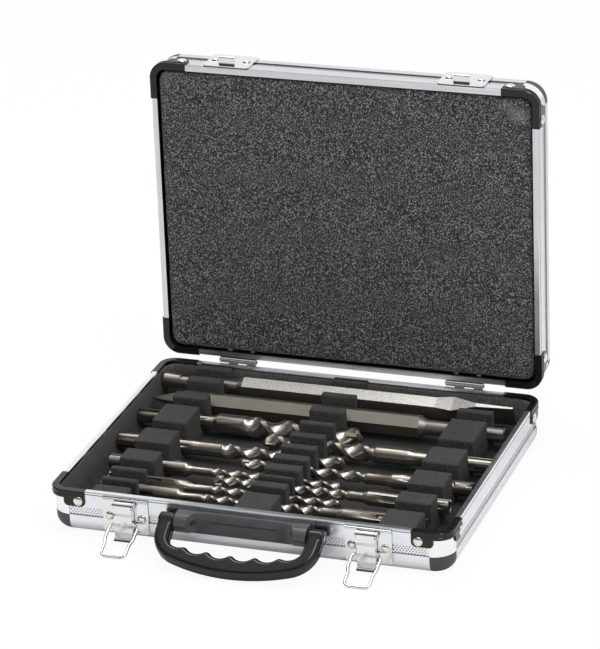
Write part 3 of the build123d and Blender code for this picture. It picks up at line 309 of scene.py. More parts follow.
class Finish(Graph):
    """A material with one Principled surface, patterned in the case's own frame."""

    def __init__(self, name, **constants):
        self.material = bpy.data.materials.new(name)
        self.material.use_nodes = True
        super().__init__(self.material.node_tree)
        self.shader = self.tree.nodes["Principled BSDF"]
        self.place = self.node("ShaderNodeTexCoord", out="Object")
        self.set(**constants)

    def set(self, **values):
        for name, value in values.items():
            socket = self.shader.inputs[name.replace("_", " ").title().replace("Ior", "IOR")]
            if isinstance(value, Wire):
                self.tree.links.new(value.socket, socket)
            else:
                socket.default_value = (*value, 1.0) if isinstance(value, tuple) else value
        return self

    def noise(self, scale, detail=2.0, roughness=0.5, stretch=(1, 1, 1), turn=(0, 0, 0)):
        """Noise in the case's own frame, drawn out along an axis where its stretch is small."""
        place = {"Vector": self.place, "Scale": stretch, "Rotation": turn}
        return self.node("ShaderNodeTexNoise", None, {
            "Vector": self.node("ShaderNodeMapping", None, place),
            "Scale": scale, "Detail": detail, "Roughness": roughness})

    def cells(self, scale):
        return self.node("ShaderNodeTexVoronoi", None, {"Vector": self.place, "Scale": scale})

    def axis(self, letter):
        return self.part(self.place, letter)

    def tint(self, amount, first, second):
        """Colour between two colours or colour wires."""
        ends = [c if isinstance(c, Wire) else (*c, 1.0) for c in (first, second)]
        return self.node("ShaderNodeMix", {"data_type": "RGBA"}, {0: amount, 6: ends[0], 7: ends[1]}, out=2)

    def shades(self, amount, tone, dark, light):
        """Colour between two shares of a tone."""
        return self.tint(amount, scaled(tone, dark), scaled(tone, light))

    def patches(self, low, high, *noise, **more):
        """Noise as a mask: 0 up to low, 1 from high."""
        return self.fade(self.noise(*noise, **more), low, high)

    def band(self, value, middle, inner, outer):
        """1 where value is within inner of the middle, 0 beyond outer."""
        return self.fall(abs(value - middle), inner, outer)

    def near(self, point, inner, outer):
        """1 within inner of a point, 0 beyond outer."""
        gap = self.node("ShaderNodeVectorMath", {"operation": "DISTANCE"},
                        {0: self.place, 1: point}, out="Value")
        return self.fall(gap, inner, outer)

    def painted_crevice_shade(self, reach=0.0012):
        """Mask for painted shade: 0 on open faces, 1 deep in the joints between pieces, where shade falls."""
        open_sky = self.node("ShaderNodeAmbientOcclusion", {"samples": 6}, {"Distance": reach}, out="AO")
        return self.fall(open_sky, 0.25, 0.95)

    def done(self, colour, rough=None, height=None, depth=0.0, strength=1.0):
        """The material, once its colour, roughness and relief are linked."""
        if rough:
            self.set(roughness=rough)
        if height:
            relief = {"Height": height, "Distance": depth, "Strength": strength}
            self.set(normal=self.node("ShaderNodeBump", None, relief))
        return self.set(base_color=colour).material


def scaled(tone, share):
    return tuple(c * share for c in tone)


def coat(thing, material):
    """Leave an object with one material."""
    slots = thing.data.materials
    slots.clear()
    slots.append(material)


def paint(material, *nodes):
    """Give CAD nodes a material."""
    for node in nodes:
        coat(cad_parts[node], material)


def paint_halves(material, *nodes):
    """Give a material to the nodes of both halves that these names stand for."""
    paint(material, *[f"{half}_{node}" for half in HALVES for node in nodes])


# --- Frames of the case ---
def side_axes(side):
    """Directions along and out of a side, in the base's frame."""
    quarter = SIDES.index(side)
    turn = Matrix.Rotation(quarter * pi / 2, 3, "Z")
    return turn @ Vector((1, 0, 0)), turn @ Vector((0, -1, 0))


def on_side(side, along, out, height):
    """A point on a side, in the base's frame."""
    sizes = settings().sizes
    reach = (sizes.depth if side in ("front", "back") else sizes.width) / 2
    ahead, outward = side_axes(side)
    return ahead * along + outward * (reach + out) + Vector((0, 0, height))


def side_span(side):
    """Length of a side."""
    sizes = settings().sizes
    return sizes.width if side in ("front", "back") else sizes.depth


def lid_place():
    """Matrix that turns a point of the base into its twin on the open lid."""
    sizes = settings().sizes
    flip = Matrix.Translation((0, 0, 2 * sizes.half_height + sizes.rim_gap)) @ Matrix.Scale(-1, 4, (0, 0, 1))
    y, z = sizes.depth / 2 + sizes.hinge_setback, sizes.half_height + sizes.hinge_rise
    hinge = Matrix.Translation((0, y, z))
    return hinge @ Matrix.Rotation(-sizes.opening, 4, "X") @ hinge.inverted() @ flip


def half_places():
    """Name of each half, its body and the matrix that places it."""
    return (("base", "case_base", Matrix.Identity(4)), ("lid", "case_lid", lid_place()))


# --- Mesh helpers ---
def new_object(name, data):
    made = bpy.data.objects.new(name, data)
    bpy.context.scene.collection.objects.link(made)
    return made


def plain_mesh(holder):
    """The evaluated mesh of an object, which is then removed."""
    depsgraph = bpy.context.evaluated_depsgraph_get()
    mesh = bpy.data.meshes.new_from_object(holder.evaluated_get(depsgraph))
    bpy.data.objects.remove(holder)
    return mesh


def grown(name, source, inputs, build, material):
    """Run a Geometry Nodes tree on a source mesh and keep its result as a plain piece."""
    tree = bpy.data.node_groups.new(name, "GeometryNodeTree")
    given = {"Finish": material, **inputs}
    tree.interface.new_socket("Geometry", in_out="INPUT", socket_type="NodeSocketGeometry")
    for label, value in given.items():
        kind = {int: "Int", float: "Float"}.get(type(value), "Material")
        tree.interface.new_socket(label, in_out="INPUT", socket_type="NodeSocket" + kind)
    tree.interface.new_socket("Geometry", in_out="OUTPUT", socket_type="NodeSocketGeometry")
    graph = Graph(tree)
    start = graph.node("NodeGroupInput")
    whole = graph.node("GeometryNodeRealizeInstances", None, {0: build(graph, start)})
    coated = graph.node("GeometryNodeSetMaterial", None, {0: whole, "Material": start.at("Finish")})
    tree.links.new(coated.socket, tree.nodes.new("NodeGroupOutput").inputs[0])
    holder = new_object(name + "_source", source)
    modifier = holder.modifiers.new("Shape", "NODES")
    modifier.node_group = tree
    for item in tree.interface.items_tree:
        if item.in_out == "INPUT" and item.name in given:
            modifier[item.identifier] = given[item.name]
    return new_object(name, plain_mesh(holder))


def placed(graph, points, shape, turn, size):
    """Put a shape on each point."""
    return graph.node("GeometryNodeInstanceOnPoints", None, {
        "Points": points, "Instance": shape, "Rotation": turn, "Scale": size})


def marks(name, places, edges=(), **attributes):
    """A mesh of points, or of edges between them, with attributes on its points."""
    mesh = bpy.data.meshes.new(name)
    mesh.from_pydata([tuple(p) for p in places], list(edges), [])
    for label, values in attributes.items():
        vector = hasattr(values[0], "__len__")
        layer = mesh.attributes.new(label, "FLOAT_VECTOR" if vector else "FLOAT", "POINT")
        layer.data.foreach_set("vector" if vector else "value", np.array(values, np.float32).ravel())
    return mesh


def merged(node):
    """A CAD node's triangles with their shared corners joined, as a bmesh."""
    work = bmesh.new()
    work.from_mesh(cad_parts[node].data)
    bmesh.ops.remove_doubles(work, verts=work.verts, dist=SHARED_CORNER)
    return work


def as_mesh(work, name):
    """A bmesh as a new mesh."""
    mesh = bpy.data.meshes.new(name)
    work.to_mesh(mesh)
    work.free()
    return mesh


def smooth(mesh):
    mesh.polygons.foreach_set("use_smooth", [True] * len(mesh.polygons))
    return mesh


def uneven(places):
    """Smooth unevenness at each place, in broad and fine waves."""
    waves = [[noise.noise(Vector(p) * scale) for p in places] for scale in (60.0, 260.0)]
    return np.array(waves[0]) * 0.7 + np.array(waves[1]) * 0.3


def eased_copy(node, voxel, rounds, wobble=0.0, shape=None):
    """Copy of a CAD piece: remeshed, eased at its edges and, where wobble says so, slightly uneven."""
    holder = new_object(node + "_source", as_mesh(merged(node), node + "_source"))
    remesh = holder.modifiers.new("Cells", "REMESH")
    remesh.mode, remesh.voxel_size, remesh.use_smooth_shade = "VOXEL", voxel, True
    ease = holder.modifiers.new("Ease", "SMOOTH")
    ease.factor, ease.iterations = 0.5, rounds
    soft = smooth(plain_mesh(holder))
    place, facing = np.empty(len(soft.vertices) * 3), np.empty(len(soft.vertices) * 3)
    soft.vertices.foreach_get("co", place)
    soft.vertices.foreach_get("normal", facing)
    place, facing = place.reshape(-1, 3), facing.reshape(-1, 3)
    if wobble:
        move = (uneven(place) - 0.6) * wobble       # mostly inwards, away from the neighbours
        place += facing * (move + (shape(place, facing) if shape else 0.0))[:, None]
        soft.vertices.foreach_set("co", place.ravel())
        soft.update()
    return new_object(node + "_piece", soft)


# --- Finishes ---
def along(run, share):
    """Stretch of a pattern whose lines run along one axis: X, Y or Z."""
    return tuple(share if letter == run else 1.0 for letter in "XYZ")


def aluminium_finish(name, run, tone):
    """Drawn aluminium: fine lines, pale bands and dark scratches along run, and painted shade in the joints.
    """
    finish = Finish(name, metallic=1.0)
    drawn = along(run, 0.012)
    lines = finish.noise(2600, 3.0, 0.6, drawn)
    broad = finish.noise(160, stretch=along(run, 0.05))
    light = finish.shades(finish.fade(lines, 0.35, 0.68), tone, 0.95, 1.0)
    light = finish.tint(finish.patches(0.46, 0.62, 340, stretch=drawn) * 0.6, light, (0.76, 0.80, 0.86))
    light = finish.tint(finish.patches(0.66, 0.74, 1100, stretch=drawn) * 0.3, light, (0.42, 0.43, 0.46))
    # painted shade: the rail darkens deep in its joints with other pieces
    light = finish.tint(finish.painted_crevice_shade(0.0008) * 0.6, light, (0.08, 0.08, 0.085))
    light = finish.tint(finish.patches(0.35, 0.7, 34, 3.0) * 0.35, light, scaled(tone, 0.84))
    return finish.done(light, finish.fade(broad + lines * 0.4, 0.5, 0.9, 0.22, 0.34), lines, 0.00003, 0.35)


def panel_finish(tone):
    """Dull metal skin with a fine dimpled grain."""
    finish = Finish("panel_skin", metallic=0.85)
    dots = finish.fade(finish.cells(420.0), 0.15, 0.5)
    haze = finish.patches(0.3, 0.7, 60, 3.0)
    skin = finish.tint(dots * 0.5, scaled(tone, 0.70), finish.shades(haze, tone, 0.80, 0.84))
    return finish.done(skin, 0.38 + haze * 0.04, dots, 0.0003, 0.8)


def chrome_finish(name, tone, rough=0.06, pitting=0.3):
    """Bright plating with slight waves, faint handling marks and painted shade in its joints."""
    finish = Finish(name, metallic=1.0)
    specks = finish.patches(0.68, 0.78, 1800)
    plated = finish.tint(specks * pitting, tone, scaled(tone, 0.55))
    haze = finish.patches(0.4, 0.75, 420, 4.0, 0.6)
    # painted shade: near black deep in the joints between pieces
    joint_shaded = finish.tint(finish.painted_crevice_shade() * 0.9, plated, (0.03, 0.03, 0.03))
    return finish.done(joint_shaded, rough + haze * 0.10, finish.noise(130), 0.0002, 0.3)


def lever_finish(tone, low):
    """Bright plating with a painted reflection: a dark band at the lower end of a latch lever, in its curled
    tip.
    """
    finish = Finish("lever_metal", metallic=1.0)
    edge = finish.fall(finish.axis("Z") - low, *LEVER_TIP_SHADE)
    haze = finish.patches(0.4, 0.75, 420, 4.0, 0.6)
    # painted reflection: the dark room seen in the curled tip of the lever
    tip_shaded = finish.tint(edge, tone, (0.03, 0.03, 0.035))
    return finish.done(tip_shaded, 0.09 + haze * 0.11, finish.noise(110), 0.0002, 0.35)


def painted_shade_mark_finish():
    """Dark metal of the rolled marks, as painted shade of the small marks in the strip."""
    finish = Finish("strip_mark", metallic=1.0)
    patchy = finish.patches(0.3, 0.7, 300)
    return finish.done(finish.tint(patchy, (0.06, 0.06, 0.064), (0.14, 0.14, 0.145)), 0.4 + patchy * 0.2)


def gloss_moulding(name, tone):
    """Glossy black moulding with flow waves, dust and fine scratches."""
    finish = Finish(name, specular_ior_level=0.36)
    dusty = finish.tint(finish.patches(0.70, 0.80, 1500) * 0.4, tone, (0.12, 0.12, 0.12))
    scratches = finish.patches(0.45, 0.75, 500, 4.0, 0.7, (1, 0.06, 1), (0.3, 0.5, 0.4))
    return finish.done(dusty, 0.09 + scratches * 0.11, finish.noise(90), 0.00035, 0.3)


def satin_moulding(name, tone, rough=0.42):
    """Satin moulding with a fine spark-eroded grain and paler rubbed places."""
    finish = Finish(name)
    grain = finish.noise(2200)
    rubs = finish.patches(0.62, 0.76, 260, 4.0, 0.65)
    light = finish.shades(finish.patches(0.3, 0.7, 70, 3.0), tone, 0.8, 1.15)
    light = finish.tint(rubs * 0.25, light, scaled(tone, 2.4))
    return finish.done(light, finish.fade(grain, 0.3, 0.7, rough - 0.06, rough + 0.08), grain, 0.00006, 0.5)


def foam_finish(name, tone, flecks, fine, touch):
    """Open-cell foam: dark cells between curled light cell walls, with a last touch of its own."""
    foam = settings().foam
    finish = Finish(name, roughness=0.95, sheen_weight=0.12, sheen_roughness=0.6, specular_ior_level=0.2)
    cells = finish.noise(fine, 2.0, 0.6)
    walls = finish.noise(fine * 0.7, 3.0, 0.65, (1.03, 0.97, 1.0), (0.4, 0.2, 0.9))
    curls = finish.band(walls, 0.52, 0.006, 0.042)
    shade = finish.tint(finish.fade(cells, 0.38, 0.52), foam.pore_colour, tone)
    shade = finish.tint(finish.patches(0.3, 0.7, 45, 3.0, 0.55) * 0.25, shade, scaled(tone, 1.4))
    light = finish.fade(cells, 0.44, 0.60) * curls
    coloured = finish.tint(light * flecks, shade, foam.fleck_colour)
    return finish.done(touch(finish, coloured), None, cells + curls * 0.4, 0.0006, 0.7)


def drill_finish(drill):
    """Blasted drill steel with ground flutes, a bright neck, a ring mark and a brazed tip."""
    metal = settings().metal
    size = drill.size
    finish = Finish(drill.node + "_steel", metallic=1.0)
    x, y, z = (finish.axis(letter) for letter in "XYZ")
    from_tip = (x - drill.tip) * -drill.facing
    from_shank = (x - drill.shank) * drill.facing
    out = ((y - drill.axis.y) ** 2.0 + (z - drill.axis.z) ** 2.0) ** 0.5
    fluted = finish.fade(from_shank, drill.plain + 1.0 * MM, drill.plain + 4.0 * MM)
    hollow = finish.fall(out, size * 0.455, size * 0.485) * fluted
    grain = finish.noise(1900, 3.0, 0.65)
    blast = finish.fade(grain, 0.35, 0.7)
    neck = finish.band(from_shank, NECK_AT, 0.0012, 0.0032)
    ring = finish.band(from_shank, RING_AT, 0.0002, 0.0005)
    brazed = finish.fall(from_tip, size * 0.5, size * 1.3) * finish.patches(0.40, 0.66, 420, 3.0, 0.6)
    steel = finish.shades(blast, metal.drill, 0.93, 1.07)
    steel = finish.tint(finish.patches(0.4, 0.7, 120, 3.0, 0.6) * 0.4, steel, scaled(metal.drill, 0.82))
    steel = finish.tint(hollow * 0.85, steel, metal.ground)
    steel = finish.tint(neck * 0.5, steel, metal.ground)
    steel = finish.tint(ring * 0.35, steel, scaled(metal.drill, 0.4))
    steel = finish.tint(brazed * 0.6, steel, metal.braze)
    return finish.done(steel, 0.29 + blast * 0.05 - hollow * 0.05 - neck * 0.05, grain, 0.00002, 0.2)


def chisel_finish(name, tone, shank, facing, rough):
    """Forged and blasted bar with a turned shank and painted shade in its hollows."""
    metal = settings().metal
    finish = Finish(name, metallic=1.0)
    grain = finish.noise(1500, 3.0, 0.7)
    from_shank = (finish.axis("X") - shank) * facing
    turned = finish.fall(from_shank, *CHISEL_TURNED)
    neck = finish.band(from_shank, CHISEL_NECK_AT, 0.0016, 0.0026)
    bar = finish.shades(finish.fade(grain, 0.35, 0.68), tone, 0.8, 1.15)
    bar = finish.tint(finish.patches(0.35, 0.7, 60, 4.0, 0.6) * 0.4, bar, scaled(tone, 0.78))
    bar = finish.tint(finish.patches(0.64, 0.74, 300, 3.0, 0.7) * 0.25, bar, scaled(tone, 0.45))
    # painted shade: dark brown deep in the hollows and joints of the bar
    bar = finish.tint(finish.painted_crevice_shade(0.004) * 0.5, bar, (0.05, 0.042, 0.032))
    bar = finish.tint(turned * 0.7, bar, scaled(metal.drill, 1.1))
    bar = finish.tint(neck * 0.75, bar, metal.ground)
    dull = finish.fade(grain, 0.3, 0.7, rough, rough + 0.08) - neck * 0.04
    return finish.done(bar, dull, grain, 0.00002, 0.2)


# --- Flutes of the drills ---
LAND = 0.27              # half the angle of a land
CORE = 0.63              # radius at the floor of a flute, as a share of the drill's
HOLLOWING = 0.85         # how squarely a flute drops from its land
LAND_STEPS, FLUTE_STEPS, STATIONS = 3, 20, 150
OVERLAP = 0.2            # mm of the plain part that the flutes take over
# Shares of the diameter.
RUN_OUT = 0.6            # length over which the flutes deepen
POINT = 0.24             # length of the point
PLATE = (0.85, 0.26)     # foot and shoulder of the hard plate, from the tip
PLATE_HALF = 0.10        # half the thickness of the hard plate
# Along the point, where it is drawn in, and the share of its radius that is gone at the tip.
POINT_STEPS, POINT_TAPER = (0.35, 0.7, 1.0), 0.9


class Drill:
    """Where a drill lies, from the box of its node, and its sizes in metres."""

    def __init__(self, node):
        low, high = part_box(node)
        self.node = node
        self.facing, plain, pitch = DRILLS[node]
        self.shank, self.tip = (low.x, high.x) if self.facing > 0 else (high.x, low.x)
        self.axis = (low + high) / 2
        self.size = float(node.split("_")[2]) * MM
        self.length = abs(self.tip - self.shank)
        self.plain, self.pitch = plain * MM, pitch * MM
        self.start = (plain - OVERLAP) * MM

    def x(self, reach):
        """X of a place this far from the shank's end."""
        return self.shank + self.facing * reach

    def twist(self, reach):
        """Turn of the flutes at a place this far from the shank's end."""
        return self.facing * 2 * pi * (reach - self.start) / self.pitch

    def point(self, reach, across, angle, aside=0.0):
        """A place at a reach, then across the axis at an angle, and aside from there."""
        return (self.x(reach), self.axis.y + across * cos(angle) - aside * sin(angle),
                self.axis.z + across * sin(angle) + aside * cos(angle))


def flute_ring(depth):
    """Angle and radius (of 1) round a section: two narrow lands and two wide hollow flutes."""
    turns, radii = [], []
    for half in (0, pi):
        for step in range(LAND_STEPS + 1):
            turns.append(half - LAND + 2 * LAND * step / LAND_STEPS)
            radii.append(1.0)
        for step in range(1, FLUTE_STEPS):
            across = -cos(pi * step / FLUTE_STEPS)
            turns.append(half + pi / 2 + across * (pi / 2 - LAND))
            radii.append(1.0 - depth * (1.0 - CORE) * (1.0 - across * across) ** HOLLOWING)
    return turns, radii


def fluted_body(drill):
    """Points and faces of a drill's fluted part, from its run-out to its pointed tip."""
    point = drill.size * POINT
    full = drill.length - point - drill.start
    rings = [(drill.start + full * i / STATIONS, 1.0) for i in range(STATIONS + 1)]
    rings += [(drill.length - point * (1 - step), 1.0 - step * POINT_TAPER) for step in POINT_STEPS]
    points, faces = [], []
    for reach, shrink in rings:
        ease = min(1.0, (reach - drill.start) / (drill.size * RUN_OUT))
        turns, radii = flute_ring(ease * ease * (3 - 2 * ease))
        for turn, radius in zip(turns, radii):
            points.append(drill.point(reach, drill.size / 2 * radius * shrink, turn + drill.twist(reach)))
    count = len(turns)
    for near in range(0, count * (len(rings) - 1), count):
        far = near + count
        for i in range(count):
            after = (i + 1) % count
            faces.append((near + i, near + after, far + after, far + i))
    return points, faces + [tuple(range(count)), tuple(range(len(points) - count, len(points)))]


def hard_plate(drill):
    """Points and faces of the roof-shaped hard plate across the tip of a drill."""
    half = drill.size * 0.5
    foot, shoulder = (drill.length - drill.size * share for share in PLATE)
    outline = ((foot, half), (shoulder, half), (drill.length, 0.0), (shoulder, -half), (foot, -half))
    thin = drill.size * PLATE_HALF
    points = [drill.point(reach, across, drill.twist(drill.length), aside)
              for aside in (-thin, thin) for reach, across in outline]
    count = len(outline)
    faces = [tuple(range(count)), tuple(range(2 * count - 1, count - 1, -1))]
    faces += [(i, count + i, count + (i + 1) % count, (i + 1) % count) for i in range(count)]
    return points, faces


# --- Operators ---
class CASE_OT_rails(bpy.types.Operator):
    """Finish the aluminium rails, the panels and the bright corner plates"""
    bl_idname = "drill_case.rails"
    bl_label = "Rails and Panels"

    def execute(self, context):
        metal = settings().metal.aluminium
        # painted shade: the lid's rails take the same aluminium at 0.8 of its tone
        for half, upright, tone in (("base", "Y", tuple(metal)), ("lid", "Z", scaled(metal, 0.8))):
            for run, sides in (("X", ("front", "back")), (upright, ("left", "right"))):
                drawn = aluminium_finish(f"{half}_aluminium_along_{run.lower()}", run, tone)
                paint(drawn, *[f"{half}_rail_{side}" for side in sides])
        paint_halves(chrome_finish("corner_plate_metal", (0.90, 0.90, 0.91), 0.2), "corner_plates")
        paint_halves(panel_finish(metal), "panel")
        return {"FINISHED"}


class CASE_OT_strip(bpy.types.Operator):
    """Roll the rows of small marks into the recessed strip of every rail"""
    bl_idname = "drill_case.strip"
    bl_label = "Strip Marks"

    def execute(self, context):
        given = settings()
        strip = given.strip
        # the marks' dark colour is painted shade
        finish = painted_shade_mark_finish()
        sizes = {"Pitch": strip.pitch, "Mark Length": strip.mark_length, "Mark Width": strip.mark_width,
                 "Mark Rise": strip.mark_rise}

        def build(graph, start):
            row = graph.node("GeometryNodeMeshToCurve", None, {0: start})
            even = graph.node("GeometryNodeResampleCurve", {"mode": "LENGTH"},
                              {0: row, "Length": start.at("Pitch")})
            turn = graph.node("FunctionNodeAxesToRotation", {"primary_axis": "Z", "secondary_axis": "X"}, {
                0: graph.attribute("facing", "FLOAT_VECTOR"), 1: graph.attribute("along", "FLOAT_VECTOR")})
            mark = graph.node("GeometryNodeMeshCone", None, {
                "Vertices": 8, "Radius Top": 0.38, "Radius Bottom": 0.5, "Depth": 1.0})
            size = graph.vector(*[start.at(f"Mark {side}") for side in ("Length", "Width", "Rise")])
            return placed(graph, even, mark, turn, size)

        for half, body, place in half_places():
            points, edges, facing, along = [], [], [], []
            turn = place.to_3x3()
            gap = (strip.high - strip.low) / strip.rows
            for side in SIDES:
                ahead, outward = side_axes(side)
                slanted = ahead * cos(strip.slant) + Vector((0, 0, 1)) * sin(strip.slant)
                reach = side_span(side) / 2 - given.sizes.corner_radius - strip.end_gap
                for row in range(strip.rows):
                    shift = strip.pitch / 2 * (row % 2)
                    edges.append((len(points), len(points) + 1))
                    for end in (-reach + shift, reach - strip.pitch + shift):
                        spot = on_side(side, end, strip.seat - strip.recess, strip.low + gap * (row + 0.5))
                        points.append(place @ spot)
                        facing.append(turn @ outward)
                        along.append(turn @ slanted)
            source = marks("strip_rows", points, edges, facing=facing, along=along)
            piece = grown(f"{half}_strip_marks", source, sizes, build, finish)
            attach(piece, body)
        return {"FINISHED"}


class CASE_OT_rivets(bpy.types.Operator):
    """Set the domed rivets of both halves"""
    bl_idname = "drill_case.rivets"
    bl_label = "Rivets"

    def execute(self, context):
        finish = chrome_finish("rivet_metal", settings().metal.rivet, 0.09, 0.5)

        def build(graph, start):
            blank = graph.node("GeometryNodeMeshCylinder", None, {
                "Vertices": start.at("Facets"), "Side Segments": 8, "Radius": 0.5, "Depth": 1.0})
            spot = graph.node("GeometryNodeInputPosition")
            x, y, z = (graph.part(spot, letter) for letter in "XYZ")
            height = z + 0.5
            draw_in = (1.0 - (height * start.at("Roundness")) ** 2.0) ** 0.5
            dome = graph.node("GeometryNodeSetPosition", None, {
                0: blank, "Position": graph.vector(x * draw_in, y * draw_in, height)})
            head = graph.node("GeometryNodeSetShadeSmooth", None, {0: dome})
            turn = graph.node("FunctionNodeAlignRotationToVector", {"axis": "Z"},
                              {"Vector": graph.attribute("facing", "FLOAT_VECTOR")})
            span = graph.attribute("span")
            return placed(graph, start, head, turn, graph.vector(span, span, graph.attribute("rise")))

        for half, body, place in half_places():
            points, facing, span, rise = [], [], [], []
            for side, along, out, height, head, tall, outwards in self.rivets(half):
                points.append(place @ on_side(side, along, out, height))
                facing.append(place.to_3x3() @ (side_axes(side)[1] * outwards))
                span.append(head)
                rise.append(tall)
            source = marks("rivet_places", points, facing=facing, span=span, rise=rise)
            piece = grown(f"{half}_domed_rivets", source, {"Facets": 28, "Roundness": 0.985}, build, finish)
            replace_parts(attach(piece, body), f"{half}_rivets")
        return {"FINISHED"}

    def rivets(self, half):
        """Side, place along, out and up, width and rise of each head, and 1 outwards or -1 inwards."""
        given = settings()
        rivets, sizes = given.rivets, given.sizes
        latch_height = (given.strip.low + given.strip.high) / 2
        corner_height = sizes.half_height - rivets.corner_drop
        hinge_height = sizes.half_height - rivets.hinge_drop
        for side in SIDES:
            reach = side_span(side) / 2 - rivets.corner_inset
            for s in (-1, 1):
                yield side, s * reach, rivets.flap, corner_height, rivets.head, rivets.rise, 1
        for hand in (-1, 1):
            for s in (-1, 1):
                x = hand * rivets.latch_x + s * rivets.latch_spacing / 2
                yield "front", x, rivets.plate, latch_height, rivets.latch_head, rivets.rise, 1
                x = hand * rivets.hinge_x + s * rivets.hinge_spacing / 2
                yield "back", x, rivets.plate, hinge_height, rivets.head, rivets.rise, 1
                if half == "lid":
                    yield "back", x, -rivets.wall, hinge_height, rivets.tail, rivets.tail_rise, -1


class CASE_OT_corners(bpy.types.Operator):
    """Finish the glossy rim corners and the satin ball corners"""
    bl_idname = "drill_case.corners"
    bl_label = "Corner Mouldings"

    def execute(self, context):
        plastic = settings().plastic
        corners = [f"rim_corner_{end}_{hand}" for end in ("front", "back") for hand in HANDS]
        paint_halves(gloss_moulding("rim_corner_plastic", plastic.gloss), *corners)
        paint_halves(satin_moulding("ball_corner_plastic", plastic.ball), "ball_corners")
        return {"FINISHED"}


class CASE_OT_pad(bpy.types.Operator):
    """Cut the flecked foam pad that fills the lid"""
    bl_idname = "drill_case.pad"
    bl_label = "Lid Pad"

    def execute(self, context):
        foam = settings().foam
        low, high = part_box("lid_foam")
        worn, upper, fold = (
            Vector((high.x - inset, low.y, high.z - drop)) for inset, drop in (WORN, UPPER, FOLD))
        far = Vector((low.x + FAR[0], low.y, high.z - FAR[1]))

        def level(values, first, last):
            """1 over most of a span, 0 at both ends."""
            return np.clip(1 - (2 * (values - first) / (last - first) - 1) ** 4, 0, 1)

        def patch(place, middle, reach):
            """1 at a place of the face, fading over a reach."""
            return np.exp(-((place[:, 0] - middle.x) ** 2 + (place[:, 2] - middle.z) ** 2) / reach ** 2)

        def shape(place, facing):
            crown = foam.pad_crown * level(place[:, 0], low.x, high.x) * level(place[:, 2], low.z, high.z)
            bulge = BULGE_RISE * patch(place, worn, BULGE_REACH)
            across = (place[:, 0] - fold.x) * CREASE_FACING[0] + (place[:, 2] - fold.z) * CREASE_FACING[1]
            crease = CREASE_DEPTH * np.exp(-(across / CREASE_WIDTH) ** 2) * patch(place, fold, CREASE_REACH)
            return np.clip(-facing[:, 1], 0, 1) * (crown + bulge - crease) - PAD_INSET

        def rubbed_and_crease_shade(finish, under):
            bare = finish.near(worn, 0.002, 0.010) * 0.8 + finish.near(upper, 0.001, 0.009) * 0.6
            bare = bare + finish.near(far, 0.002, 0.014) * 0.35
            torn = 0.3 + finish.patches(0.34, 0.62, 900, 3.0, 0.6) * 0.7
            pale = finish.tint(bare * torn, under, (0.26, 0.25, 0.26))
            # painted shade: dark in the fold of the crease
            return finish.tint(finish.near(fold, 0.001, 0.008) * 0.7, pale, (0.008, 0.008, 0.009))

        piece = eased_copy("lid_foam", foam.pad_voxel, 3, foam.pad_wobble, shape)
        coat(piece, foam_finish("lid_pad_foam", foam.pad_colour, 0.8, 950, rubbed_and_crease_shade))
        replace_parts(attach(piece, "case_lid"), "lid_foam")
        return {"FINISHED"}


class CASE_OT_combs(bpy.types.Operator):
    """Cut the foam tray and the three slotted foam combs"""
    bl_idname = "drill_case.combs"
    bl_label = "Tray and Combs"

    def execute(self, context):
        foam = settings().foam

        def scuffed(finish, under):
            top = finish.fade(finish.axis("Z"), *COMB_TOPS) * finish.patches(0.60, 0.74, 150, 5.0, 0.7)
            return finish.tint(top * 0.35, under, foam.scuff_colour)

        def painted_floor_shade(finish, under):
            # painted shade: the tray darkens towards its floor
            deep = finish.fall(finish.axis("Z"), *TRAY_PAINTED_SHADE)
            return finish.tint(deep * 0.75, under, (0.012, 0.012, 0.011))

        comb_foam = foam_finish("comb_foam", foam.comb_colour, 0.10, 1500, scuffed)
        tray_foam = foam_finish("tray_foam", foam.tray_colour, 0.12, 1500, painted_floor_shade)
        for node in (*COMBS, "foam_tray"):
            tray = node == "foam_tray"
            voxel, rounds = (foam.tray_voxel, 1) if tray else (foam.comb_voxel, 2)
            piece = eased_copy(node, voxel, rounds, foam.comb_wobble)
            coat(piece, tray_foam if tray else comb_foam)
            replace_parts(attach(piece, "case_base"), node)
        return {"FINISHED"}


class CASE_OT_drills(bpy.types.Operator):
    """Twist the flutes of the nine drills and finish each from its own tip and shank"""
    bl_idname = "drill_case.drills"
    bl_label = "Drills"

    def execute(self, context):
        for name in DRILLS:
            drill = Drill(name)
            work = merged(name)
            bmesh.ops.bisect_plane(work, geom=work.verts[:] + work.edges[:] + work.faces[:],
                                   plane_co=(drill.x(drill.start), 0, 0), plane_no=(drill.facing, 0, 0),
                                   clear_outer=True)
            bmesh.ops.holes_fill(work, edges=[e for e in work.edges if e.is_boundary])
            shank = range(len(work.verts))
            for points, faces in (fluted_body(drill), hard_plate(drill)):
                verts = [work.verts.new(point) for point in points]
                made = [work.faces.new([verts[i] for i in face]) for face in faces]
                bmesh.ops.recalc_face_normals(work, faces=made)
            mesh = smooth(as_mesh(work, name + "_twisted"))
            mesh.set_sharp_from_angle(angle=SHARP)
            mesh.materials.append(drill_finish(drill))
            holder = new_object(name + "_source", mesh)
            self.keep_shading(holder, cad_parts[name], shank)
            piece = new_object(name + "_fluted", plain_mesh(holder))
            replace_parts(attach(piece, name), name)
        return {"FINISHED"}

    def keep_shading(self, holder, node, shank):
        """Give the cut shank the smooth shading of its node."""
        holder.vertex_groups.new(name="shank").add(shank, 1.0, "ADD")
        shading = holder.modifiers.new("Shading", "DATA_TRANSFER")
        shading.object, shading.vertex_group = node, "shank"
        shading.use_loop_data, shading.data_types_loops = True, {"CUSTOM_NORMAL"}
        shading.loop_mapping = "NEAREST_POLYNOR"


